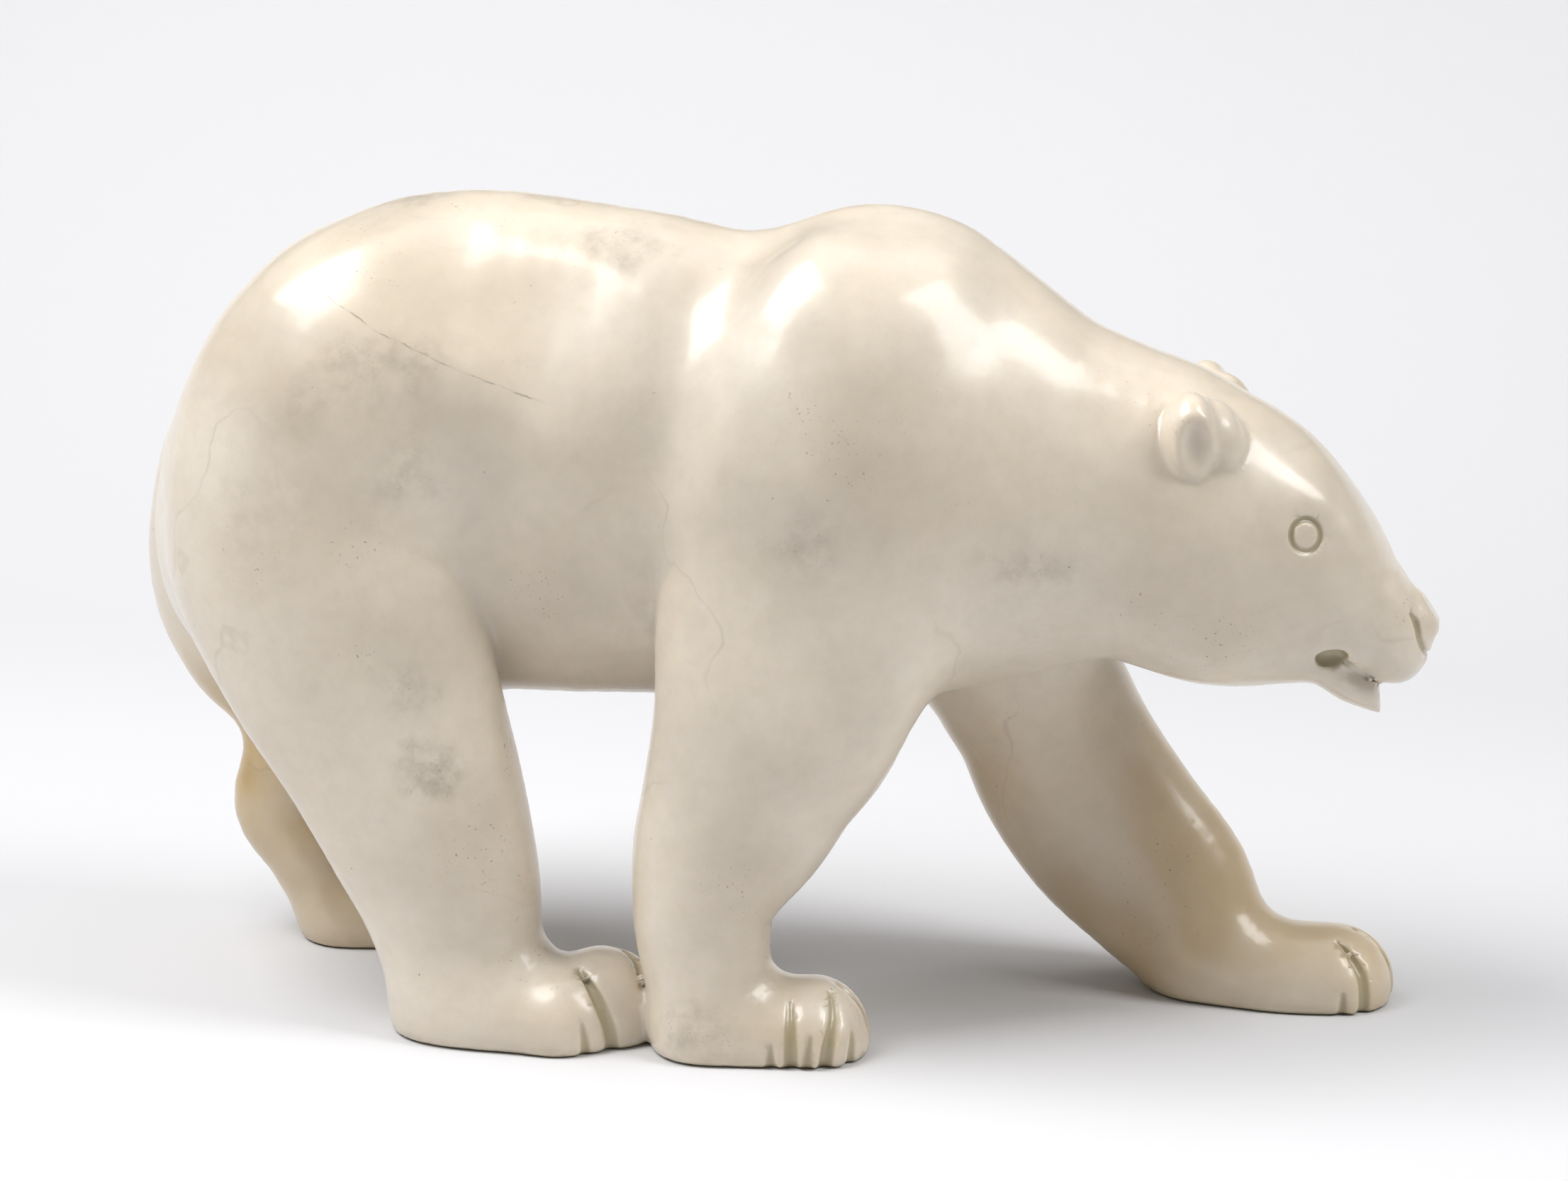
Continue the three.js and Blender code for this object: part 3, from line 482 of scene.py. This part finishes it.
t = TOE_CUT_WIDTH / 2
toe_cuts = [
    # right front paw, from the outer toe inwards
    groove([[13.5, -60, -3, t], [13.5, -60, 5, t], [13, -58, 12, t * 0.8], [12, -53, 18, t * 0.3]]),
    groove([[21.8, -56, -3, t], [22.3, -55, 6, t], [23.8, -52, 13, t * 0.8], [22.5, -46, 20, t * 0.3]]),
    groove([[34, -39, -3, t], [34, -39, 6, t], [31, -39, 14, t * 0.8], [24, -39, 21, t * 0.3]]),
    groove([[30, -27, -3, t], [30, -27, 6, t], [27, -28, 14, t * 0.8], [21, -32, 20, t * 0.3]]),
    groove([[8, -61, -3, t * 0.8], [8, -61, 3, t * 0.6], [8, -61, 7, t * 0.2]]),
    groove([[17.5, -58, -3, t * 0.8], [18, -58, 4, t * 0.6], [18.5, -57, 9, t * 0.2]]),
    groove([[27.5, -51, -3, t * 0.8], [28, -51, 4, t * 0.6], [28.5, -50, 9, t * 0.2]]),
    # right hind paw
    groove([[-37, -56, -3, t], [-39, -53, 4, t], [-43, -50, 11, t], [-50, -46, 17, t * 0.4]]),
    groove([[-43.5, -60, -3, t * 0.8], [-44, -60, 4, t * 0.6], [-46, -58, 9, t * 0.2]]),
    groove([[-31, -42, 14, t * 0.5], [-38, -36, 19, t * 0.6], [-46, -30, 22, t * 0.3]]),
    # left front paw
    groove([[165.5, 19, -3, t], [165.5, 19, 4, t], [164, 21, 10, t * 0.9], [158, 25, 17, t * 0.3]]),
    groove([[161, 13, -3, t * 0.8], [161, 13, 3, t * 0.6], [161, 13, 7, t * 0.2]]),
    groove([[174, 32, -3, t], [174, 32, 6, t], [170, 33, 14, t * 0.8], [162, 35, 20, t * 0.3]]),
    groove([[171, 44, -3, t], [171, 44, 6, t], [166, 44, 13, t * 0.8], [159, 44, 18, t * 0.3]]),
    # left hind paw
    groove([[-110, 24, -3, t], [-110, 24, 5, t], [-114, 27, 12, t * 0.3]]),
    groove([[-104, 33, -3, t], [-104, 33, 5, t], [-109, 33, 14, t * 0.3]]),
    groove([[-105, 43, -3, t], [-105, 43, 5, t], [-110, 42, 14, t * 0.3]]),
]
presses = [
    # behind the right and the left shoulder blade
    press([[-2, -20, 221], [-5, -28, 215], [-12, -40, 203], [-18, -46, 188], [-24, -49, 168]], 9, 3.2),
    press([[4, 20, 221], [1, 28, 215], [-6, 40, 203], [-12, 46, 188], [-17, 49, 168]], 9, 3.2),
    # where the neck leaves the shoulder
    press([[64, -22, 202], [68, -34, 184], [71, -38, 166]], 15, 0.9),
    press([[67, 22, 202], [71, 34, 184], [73, 38, 166]], 15, 0.9),
    # the loin in front of each hip, and the flank between ribs and thigh
    press([[-84, -42, 208], [-62, -42, 207]], 14, 4.8),
    press([[-88, 42, 208], [-66, 42, 207]], 14, 4.8),
    press([[-84, -47, 172], [-78, -48, 150]], 12, 2.6),
    press([[-88, 47, 172], [-84, 48, 150]], 12, 2.6),
]
face_cuts = [
    ring([145.8, -21, 148], EYE_RING_RADIUS, EYE_RING_WIDTH),
    ring([145.8, 21, 148], EYE_RING_RADIUS, EYE_RING_WIDTH),
    # round the nose pad from nostril to nostril, and down the middle of the lip
    groove([[175.5, -9.5, 124.6, 0.9], [176.8, -9, 122.4, 1.5], [177.4, -8.5, 118, 1.2], [178.8, -6, 114, 1],
            [180, 0, 112.4, 1], [178.8, 6, 114, 1], [177.4, 8.5, 118, 1.2], [176.8, 9, 122.4, 1.5],
            [175.5, 9.5, 124.6, 0.9]]),
    groove([[181, 0, 113, 1], [180, 0, 109, 0.9], [176, 0, 104.5, 0.6]]),
    # along each side of the mouth, from its corner to the tip of the jaw
    groove([[160, -13, 109.5, 1.1], [165, -8, 105.8, 0.6], [169, 0, 104.2, 0.6], [165, 8, 105.8, 0.6],
            [160, 13, 109.5, 1.1]]),
]
mouth_corners = [
    groove([[154.8, -16.8, 111.2, 3.1], [156.8, -16.2, 111, 3.4]]),
    groove([[154.8, 16.8, 111.2, 3.1], [156.8, 16.2, 111, 3.4]]),
]
ear_dishes = [
    egg([120.2, -38.8, 172], [5.8, 6.9, 10.8], -10, 14),
    egg([120.2, 38.8, 172], [5.8, 6.9, 10.8], -10, -14),
]

# Rubbing down by hand leaves the surface faintly uneven: long, shallow waves
waves = []
for i in range(WAVES):
    rise = math.asin(1 - (2 * i + 1) / WAVES)
    heading = i * WAVE_TURN
    level = math.cos(rise)
    way = np.array([level * math.cos(heading), level * math.sin(heading), math.sin(rise)])
    waves.append((way * 2 * math.pi / (22 + 4 * (i % 5)), 1.7 * i))


def rubbed_bear(x, y, z):
    stone = walking_bear(x, y, z)
    for dent in presses:
        stone = stone + dent(x, y, z)
    for dish in ear_dishes:
        stone = cut(stone, dish(x, y, z), EAR_EDGE)
    for wave, start in waves:
        stone = stone + WAVE_HEIGHT * np.sin(x * wave[0] + y * wave[1] + z * wave[2] + start)
    return stone


def cuts(x, y, z):
    """Distance to the nearest gouge or drill cut."""
    found = [form(x, y, z) for form in mouth_corners + toe_cuts + face_cuts]
    return np.minimum.reduce(found)


def bear(x, y, z):
    stone = rubbed_bear(x, y, z)
    for corner in mouth_corners:
        stone = cut(stone, corner(x, y, z), MOUTH_EDGE)
    for toe in toe_cuts:
        stone = cut(stone, toe(x, y, z), TOE_EDGE)
    for line in face_cuts:
        stone = cut(stone, line(x, y, z), FACE_LINE_EDGE)
    return -join(-stone, z, SOLE_EDGE)


def in_batches(field, points):
    """A field's reading at many points, a batch at a time."""
    points = np.asarray(points, np.float32)
    found = [field(*part.T) for part in np.array_split(points, max(1, len(points) // BATCH))]
    return np.concatenate(found).astype(np.float32)


# A grid of readings. Blocks of cells that lie clear of the surface take one reading each.
def read_grid(field, low, high, cell):
    spans = (16, 8, 4, 2)
    whole = [math.ceil((top - bottom) / cell / spans[0]) for bottom, top in zip(low, high)]
    readings = np.empty([n * spans[0] for n in whole], np.float32)
    blocks = np.argwhere(np.ones(whole)) * spans[0]
    for span in spans:
        reading = in_batches(field, low + (blocks + span / 2) * cell)
        clear = np.abs(reading) > span * cell * 1.2 + cell
        inside = np.argwhere(np.ones([span] * 3))
        cells = (blocks[clear][:, None] + inside).reshape(-1, 3)
        readings[tuple(cells.T)] = np.repeat(reading[clear], len(inside))
        half = span // 2
        children = np.argwhere(np.ones([2] * 3)) * half
        blocks = (blocks[~clear][:, None] + children).reshape(-1, 3)
    readings[tuple(blocks.T)] = in_batches(field, low + blocks * cell)
    return readings


# The net has one point in each grid cell that the surface passes through.
def draw_net(readings, low, cell):
    corners = np.argwhere(np.ones([2] * 3))
    size = np.array(readings.shape) - 1
    inside = readings < 0
    count = sum(inside[a:a + size[0], b:b + size[1], c:c + size[2]].astype(np.int8) for a, b, c in corners)
    cells = np.argwhere((count > 0) & (count < 8))
    value = np.stack([readings[tuple((cells + corner).T)] for corner in corners], axis=1)
    total = np.zeros((len(cells), 3))
    crossings = np.zeros(len(cells))
    for i, start in enumerate(corners):
        for j, end in enumerate(corners):
            if j <= i or np.abs(end - start).sum() != 1:
                continue
            crossed = (value[:, i] < 0) != (value[:, j] < 0)
            share = np.where(crossed, value[:, i] / np.where(crossed, value[:, i] - value[:, j], 1), 0)
            total += np.where(crossed[:, None], start + share[:, None] * (end - start), 0)
            crossings += crossed
    points = low + (cells + total / crossings[:, None]) * cell
    owner = np.full(readings.shape, -1)
    owner[tuple(cells.T)] = np.arange(len(cells))
    quads = []
    for axis in range(3):
        ahead = np.eye(3, dtype=int)[axis]
        second, third = np.eye(3, dtype=int)[[(axis + 1) % 3, (axis + 2) % 3]]
        here = inside[1:-1, 1:-1, 1:-1]
        along_x, along_y, along_z = here.shape
        there = inside[1 + ahead[0]:, 1 + ahead[1]:, 1 + ahead[2]:][:along_x, :along_y, :along_z]
        edges = np.argwhere(here != there) + 1
        steps_back = (second + third, third, 0 * third, second)
        ring_of_four = [owner[tuple((edges - back).T)] for back in steps_back]
        quad = np.stack(ring_of_four, axis=1)
        outwards = inside[tuple(edges.T)]
        quads.append(np.where(outwards[:, None], quad, quad[:, ::-1]))
    quads = np.vstack(quads)
    triangles = np.vstack([quads[:, [0, 1, 2]], quads[:, [0, 2, 3]]])
    return points, triangles


# Close to the cuts, and at the ears, the net is split finer: at most twice by the toes,
# and three times in the face
def fine_places(points, already):
    near_cut = in_batches(cuts, points) < (2.2 if already == 0 else 1.2)
    in_face = points[:, 0] > 140
    in_face &= points[:, 2] > 60
    at_ear = np.abs(points - (120, 0, 174))[:, [0, 2]].max(axis=1) < 16
    at_ear &= np.abs(points[:, 1]) > 18
    return (near_cut & (in_face | (already < 2))) | (at_ear & (already < 1))


def split_fine(points, triangles, already):
    """Puts a point in the middle of each edge whose two ends lie in a fine place."""
    fine = fine_places(points, already)
    edges = np.sort(triangles[:, [[0, 1], [1, 2], [2, 0]]], axis=2)
    both = fine[edges].all(axis=2)
    pairs, which = np.unique(edges[both], axis=0, return_inverse=True)
    middle = np.full(both.shape, -1)
    middle[both] = len(points) + which.ravel()
    points = np.vstack([points, points[pairs].mean(axis=1)])
    moved = np.concatenate([np.flatnonzero(fine), np.arange(len(fine), len(points))])
    number = both.sum(axis=1)
    a, b, c = triangles[number == 3].T
    ab, bc, ca = middle[number == 3].T
    parts = [triangles[number == 0]]
    parts += [np.stack(corner, axis=1) for corner in ((a, ab, ca), (ab, b, bc), (ca, bc, c), (ab, bc, ca))]
    single = triangles[number == 1]
    first = both[number == 1].argmax(axis=1)
    rows = np.arange(len(single))
    a, b, c = (single[rows, (first + i) % 3] for i in range(3))
    ab = middle[number == 1][rows, first]
    parts += [np.stack([a, ab, c], axis=1), np.stack([ab, b, c], axis=1)]
    return points, np.vstack(parts), moved


low = np.array([-214.0, -72.0, -8.0])
high = np.array([194.0, 72.0, 242.0])
points, triangles = draw_net(read_grid(bear, low, high, CELL), low, CELL)


def settle_all(points, tries):
    parts = np.array_split(points, max(1, len(points) // BATCH))
    return np.vstack([settle(bear, part, tries)[0] for part in parts])


points = settle_all(points, 2)
for already in range(3):
    points, triangles, moved = split_fine(points, triangles, already)
    points[moved] = settle_all(points[moved], 3)
points[:, 2] = np.maximum(points[:, 2], 0)
# how deep each point lies in a cut: dust, old wax and painted shade are tinted in by this
cut_dust_and_shade = fade(0.1, 0.9, -in_batches(rubbed_bear, points))

# The bear is set down in the frame's box, and trimmed to it by a hair where it is fuller
corner_low = points.min(axis=0)
corner_high = points.max(axis=0)
cad_corners = np.array(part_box("polar_bear")) / MM
trim = np.minimum((cad_corners[1] - cad_corners[0]) / (corner_high - corner_low), 1)
points = (points - (corner_low + corner_high) / 2) * trim
points += (cad_corners[0] + cad_corners[1]) / 2
points[:, 2] -= points[:, 2].min()

stone = bpy.data.meshes.new("polar_bear_stone")
stone.vertices.add(len(points))
stone.vertices.foreach_set("co", (points * MM).astype(np.float32).ravel())
stone.loops.add(triangles.size)
stone.loops.foreach_set("vertex_index", triangles.astype(np.int32).ravel())
stone.polygons.add(len(triangles))
stone.polygons.foreach_set("loop_start", np.arange(0, triangles.size, 3, dtype=np.int32))
stone.polygons.foreach_set("use_smooth", np.ones(len(triangles), bool))
stone.update(calc_edges=True)
stone.validate()
stone.attributes.new("cut_dust_and_shade", "FLOAT", "POINT").data.foreach_set("value", cut_dust_and_shade.astype(np.float32))
polar_bear = bpy.data.objects.new("carved_polar_bear", stone)
bpy.context.scene.collection.objects.link(polar_bear)
print("bear triangles", len(triangles))


def linear(hex_colour):
    """An sRGB hex value as linear colour."""
    channels = [int(hex_colour[i:i + 2], 16) / 255 for i in (0, 2, 4)]
    return [c / 12.92 if c <= 0.04045 else ((c + 0.055) / 1.055) ** 2.4 for c in channels] + [1]


def new_material(name):
    made = bpy.data.materials.new(name)
    made.use_nodes = True
    made.node_tree.nodes.clear()
    return made


def add(tree, kind, settings=None, **inputs):
    """Adds a node. Inputs are named by their sockets: a value sets one, and a socket links to it."""
    node = tree.nodes.new(kind)
    for name, value in (settings or {}).items():
        setattr(node, name, value)
    for name, value in inputs.items():
        socket = node.inputs[int(name[1:])] if name[0] == "i" and name[1:].isdigit() else node.inputs[
            name.replace("_", " ")]
        if isinstance(value, bpy.types.NodeSocket):
            tree.links.new(value, socket)
        else:
            socket.default_value = value
    return node


# Alabaster, rubbed smooth and waxed: a soft, translucent stone, cream, with warm shade painted on its far
# legs and underside.
# Light sinks a few millimetres into it, so its shadows are soft and its thin edges glow.
alabaster = new_material("waxed_alabaster")
tree = alabaster.node_tree
place = add(tree, "ShaderNodeTexCoord").outputs["Object"]


def noise(size_mm, detail=3.0, roughness=0.5, where=None):
    """Cloudy noise whose blobs are about size_mm across."""
    return add(
        tree, "ShaderNodeTexNoise", Vector=where or place, Scale=1 / (size_mm * MM),
        Detail=detail, Roughness=roughness,
    ).outputs["Fac"]


def between(value, low, high, to_low=0.0, to_high=1.0):
    """Maps low..high of a value to 0..1, smoothly."""
    return add(
        tree, "ShaderNodeMapRange", {"interpolation_type": "SMOOTHSTEP"},
        i0=value, i1=low, i2=high, i3=to_low, i4=to_high,
    ).outputs[0]


def sums(operation, a, b=0.0):
    return add(tree, "ShaderNodeMath", {"operation": operation}, i0=a, i1=b).outputs[0]


def tinted(under, colour, amount):
    """Lays a colour over another by an amount."""
    return add(
        tree, "ShaderNodeMix", {"data_type": "RGBA"}, i0=amount, i6=under, i7=linear(colour),
    ).outputs[2]


def vector_sum(operation, a, b, output=0):
    return add(tree, "ShaderNodeVectorMath", {"operation": operation}, i0=a, i1=b).outputs[output]


wander = vector_sum("SUBTRACT", add(
    tree, "ShaderNodeTexNoise", Vector=place, Scale=1 / (14 * MM), Detail=3.0,
).outputs["Color"], (0.5, 0.5, 0.5))
wandered = vector_sum("ADD", place, vector_sum("MULTIPLY", wander, (22 * MM, 22 * MM, 22 * MM)))


def spot(x, y, z, across, up):
    """1 in the middle of a patch of colour, 30 mm deep each way, fading to 0 at its uneven rim."""
    from_middle = vector_sum("SUBTRACT", wandered, (x * MM, y * MM, z * MM))
    scaled = vector_sum("MULTIPLY", from_middle, (1 / (across * MM), 1 / (30 * MM), 1 / (up * MM)))
    length = vector_sum("LENGTH", scaled, (0, 0, 0), 1)
    return between(length, 1.0, 0.0)


def spots(places):
    together = 0.0
    for x, y, z, across, up, strength in places:
        together = sums("MAXIMUM", sums("MULTIPLY", spot(x, y, z, across, up), strength), together)
    return together


xyz = add(tree, "ShaderNodeSeparateXYZ", Vector=place).outputs
colour = add(
    tree, "ShaderNodeMix", {"data_type": "RGBA"}, i0=between(noise(70, 3), 0.3, 0.7),
    i6=linear("E8DECE"), i7=linear("DCCFBB"),
).outputs[2]
# painted light: whiter patches where the light falls brightest, on the haunch, the tops of the paws, the
# jowl, the brow and the shoulder
painted_light_patches = spots([
    (-138, -44, 163, 34, 36, 0.9), (-47, -50, 25, 26, 14, 0.7), (37, -50, 20, 24, 14, 0.7),
    (114, -26, 105, 36, 12, 1.0), (145, -12, 165, 22, 14, 0.5), (15, -40, 190, 26, 22, 0.5),
    (176, 30, 16, 20, 14, 0.5),
])
# the painted light is laid over the stone's colour here
colour = tinted(colour, "F6EFE2", sums("MULTIPLY", painted_light_patches, 0.75))
# painted shade: a warm, darker tint on the far legs and low down, standing in for the warm bounced light in
# their shadow
far_legs_painted_shade = sums("MULTIPLY", between(xyz[1], 0.0, 0.03), between(xyz[2], 0.11, 0.06))
painted_warm_shade = sums("ADD", sums("MULTIPLY", far_legs_painted_shade, between(noise(26, 3), 0.2, 0.8, 0.4, 0.8)), spots([
    (120, 30, 20, 46, 30, 0.5), (-160, 38, 62, 44, 60, 1.0),
    (26, -50, 8, 24, 14, 0.25), (-40, -50, 8, 26, 12, 0.15), (-20, -20, 95, 60, 16, 0.2),
]))
# the warm painted shade is laid over the stone's colour here
colour = tinted(colour, "BF9F5E", sums("MULTIPLY", painted_warm_shade, 0.75))
# grey clouding, where clay was caught in the stone
smudges = spots([
    (-79, -55, 79, 14, 10, 1.0), (-86, -55, 103, 15, 11, 0.6), (27, -55, 147, 16, 12, 0.55),
    (84, -36, 140, 18, 12, 0.6), (-92, -46, 190, 30, 13, 0.6), (-84, -48, 165, 14, 16, 0.5),
    (-112, -46, 182, 12, 16, 0.5), (-4, -60, 10, 18, 12, 0.6), (-128, -40, 150, 14, 16, 0.4),
    (-20, -52, 120, 10, 14, 0.35), (-32, -20, 222, 24, 8, 0.8), (-98, -10, 232, 20, 8, 0.7),
])
sandy = between(noise(5, 6, 0.65), 0.3, 0.75)
uneven = sums("ADD", sums("MULTIPLY", sandy, 0.55), 0.1)
colour = tinted(colour, "8C8377", sums("MULTIPLY", smudges, uneven))
clouds = between(noise(45, 3, 0.5), 0.35, 0.75)
colour = tinted(colour, "AFA494", sums("MULTIPLY", clouds, 0.3))
colour = tinted(colour, "B3A691", sums("MULTIPLY", sandy, 0.14))
# dark grains, in scattered flocks and along the back
flocks = sums("MAXIMUM", between(noise(34, 2), 0.55, 0.7), sums("MULTIPLY", smudges, 0.8))
grains = between(noise(1.1, 2, 0.6), 0.66, 0.72)
colour = tinted(colour, "7A6F60", sums("MULTIPLY", sums("MULTIPLY", flocks, grains), 0.75))
# and here and there a single dark speck or small pit
cells = add(tree, "ShaderNodeTexVoronoi", Vector=place, Scale=1 / (9 * MM)).outputs
specks = sums("MULTIPLY", between(cells["Distance"], 0.045, 0.02), between(cells["Color"], 0.5, 0.6))
colour = tinted(colour, "7D7263", sums("MULTIPLY", specks, 0.7))


def veins(size_mm, width, low, high, strength, tint, shift):
    """Thin veins: the lines where a slow noise crosses its middle value, here and there."""
    moved = vector_sum("ADD", place, (shift, 0.1, 0.2))
    ridge = sums("ABSOLUTE", sums("SUBTRACT", noise(size_mm, 5, 0.42, where=moved), 0.5))
    line = between(ridge, width, 0.0)
    shown = between(noise(size_mm * 0.5, 2, where=vector_sum("ADD", moved, (0.3, 0.1, 0.2))), low, high)
    return tinted(colour, tint, sums("MULTIPLY", sums("MULTIPLY", line, shown), strength))


colour = veins(120, 0.0035, 0.52, 0.66, 0.2, "8C8071", 0.4)
colour = veins(90, 0.006, 0.5, 0.7, 0.2, "B09A76", 0.9)


# a hairline crack across the haunch: a shallow arc seen from the side
def hairline(x0, z0, x1, z1, bow, width):
    share = sums("DIVIDE", sums("SUBTRACT", xyz[0], x0 * MM), (x1 - x0) * MM)
    arch = sums("MULTIPLY", sums("MULTIPLY", share, sums("SUBTRACT", 1.0, share)), 4 * bow * MM)
    height = sums("ADD", sums("ADD", sums("MULTIPLY", share, (z1 - z0) * MM), z0 * MM), arch)
    wobble = sums("MULTIPLY", sums("SUBTRACT", noise(7, 3), 0.5), 2.4 * MM)
    off = sums("ABSOLUTE", sums("SUBTRACT", sums("ADD", xyz[2], wobble), height))
    ends = sums("MULTIPLY", between(share, 0.0, 0.06), between(share, 1.0, 0.9))
    near_side = between(xyz[1], -0.005, -0.02)
    return sums("MULTIPLY", sums("MULTIPLY", between(off, width * MM, 0.0), ends), near_side)


crack = hairline(-112, 211, -46, 181, -3, 0.4)
broken = between(noise(4, 3), 0.4, 0.6, 0.1, 0.6)
colour = tinted(colour, "7D7060", sums("MULTIPLY", crack, broken))
# dust and old wax in the cuts, with painted shade: the deeper a point lies below the rubbed surface, the
# darker it is tinted
cut_dust_and_shade_mask = add(tree, "ShaderNodeAttribute", {"attribute_name": "cut_dust_and_shade"}).outputs["Fac"]
colour = tinted(colour, "A79A74", sums("MULTIPLY", cut_dust_and_shade_mask, 0.7))
polish = between(noise(12, 5, 0.6), 0.3, 0.75, 0.29, 0.42)
shader = add(
    tree, "ShaderNodeBsdfPrincipled", Base_Color=colour, Roughness=polish, IOR=1.52,
    Coat_Weight=0.5, Coat_Roughness=0.15,
    Subsurface_Weight=0.5, Subsurface_Radius=(1.0, 0.72, 0.45), Subsurface_Scale=0.003,
)
tree.links.new(shader.outputs[0], add(tree, "ShaderNodeOutputMaterial").inputs["Surface"])
stone.materials.append(alabaster)
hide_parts("polar_bear")
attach(polar_bear, "root")


# The floor and backdrop
# A sheet of white paper that lies flat under the bear and rises in a wide curve behind it.
FLOOR_HALF_WIDTH = 1.6
FLOOR_FRONT = -1.6
FLOOR_BACK = 0.42
RISE_RADIUS = 0.35
profile = [(FLOOR_FRONT, 0.0), (FLOOR_BACK, 0.0)]
for i in range(1, 17):
    angle = math.radians(90 * i / 16)
    profile.append((FLOOR_BACK + RISE_RADIUS * math.sin(angle), RISE_RADIUS * (1 - math.cos(angle))))
sheet = bpy.data.meshes.new("paper_sweep")
sheet_points = [(side * FLOOR_HALF_WIDTH, y, z) for y, z in profile for side in (-1, 1)]
sheet_faces = [(2 * i, 2 * i + 1, 2 * i + 3, 2 * i + 2) for i in range(len(profile) - 1)]
sheet.from_pydata(sheet_points, [], sheet_faces)
for face_of_sheet in sheet.polygons:
    face_of_sheet.use_smooth = True
paper_sweep = bpy.data.objects.new("paper_sweep", sheet)
bpy.context.scene.collection.objects.link(paper_sweep)
paper = new_material("white_paper")
tree = paper.node_tree
paper_shader = add(tree, "ShaderNodeBsdfPrincipled", Base_Color=linear("DADADC"), Roughness=0.8)
tree.links.new(paper_shader.outputs[0], add(tree, "ShaderNodeOutputMaterial").inputs["Surface"])
sheet.materials.append(paper)


# The lights
# A large soft box over the bear, one on each side of it, and pale light all round.
def soft_box(name, spot_at, aim, width, height, watts):
    lamp = bpy.data.lights.new(name, "AREA")
    lamp.shape = "RECTANGLE"
    lamp.size = width
    lamp.size_y = height
    lamp.energy = watts
    holder = bpy.data.objects.new(name, lamp)
    holder.location = spot_at
    holder.rotation_euler = (Vector(aim) - Vector(spot_at)).to_track_quat("-Z", "Y").to_euler()
    bpy.context.scene.collection.objects.link(holder)


soft_box("soft_box_overhead", (0.1, 0.4, 1.75), (0.1, 0.2, 0), 1.4, 0.9, 4)
soft_box("soft_box_left", (-0.7, -0.3, 1.24), (0, 0, 0.15), 1.0, 0.9, 23)
soft_box("soft_box_right", (0.9, -0.2, 1.02), (0, 0, 0.12), 0.45, 0.9, 10)
world = bpy.data.worlds.new("pale_studio")
bpy.context.scene.world = world
world.use_nodes = True
world.node_tree.nodes["Background"].inputs["Color"].default_value = linear("F2F3F8")
world.node_tree.nodes["Background"].inputs["Strength"].default_value = 0.12
bpy.context.scene.view_settings.view_transform = "Standard"


# The camera
# It stands about a metre from the bear, a little above its back, and turned 11 degrees.
CAMERA_TURN = math.radians(11)
CAMERA_TILT = math.radians(12.575)
PICTURE_WIDTH_PX = 2212
FOCAL_LENGTH_PX = 5088
lens = bpy.data.cameras.new("studio_camera")
lens.sensor_width = 36
lens.lens = FOCAL_LENGTH_PX / PICTURE_WIDTH_PX * lens.sensor_width
lens.clip_start = 0.05
camera = bpy.data.objects.new("studio_camera", lens)
camera.location = (0.2005, -0.9809, 0.345)
camera.rotation_euler = (math.pi / 2 - CAMERA_TILT, 0, CAMERA_TURN)
bpy.context.scene.collection.objects.link(camera)
bpy.context.scene.camera = camera
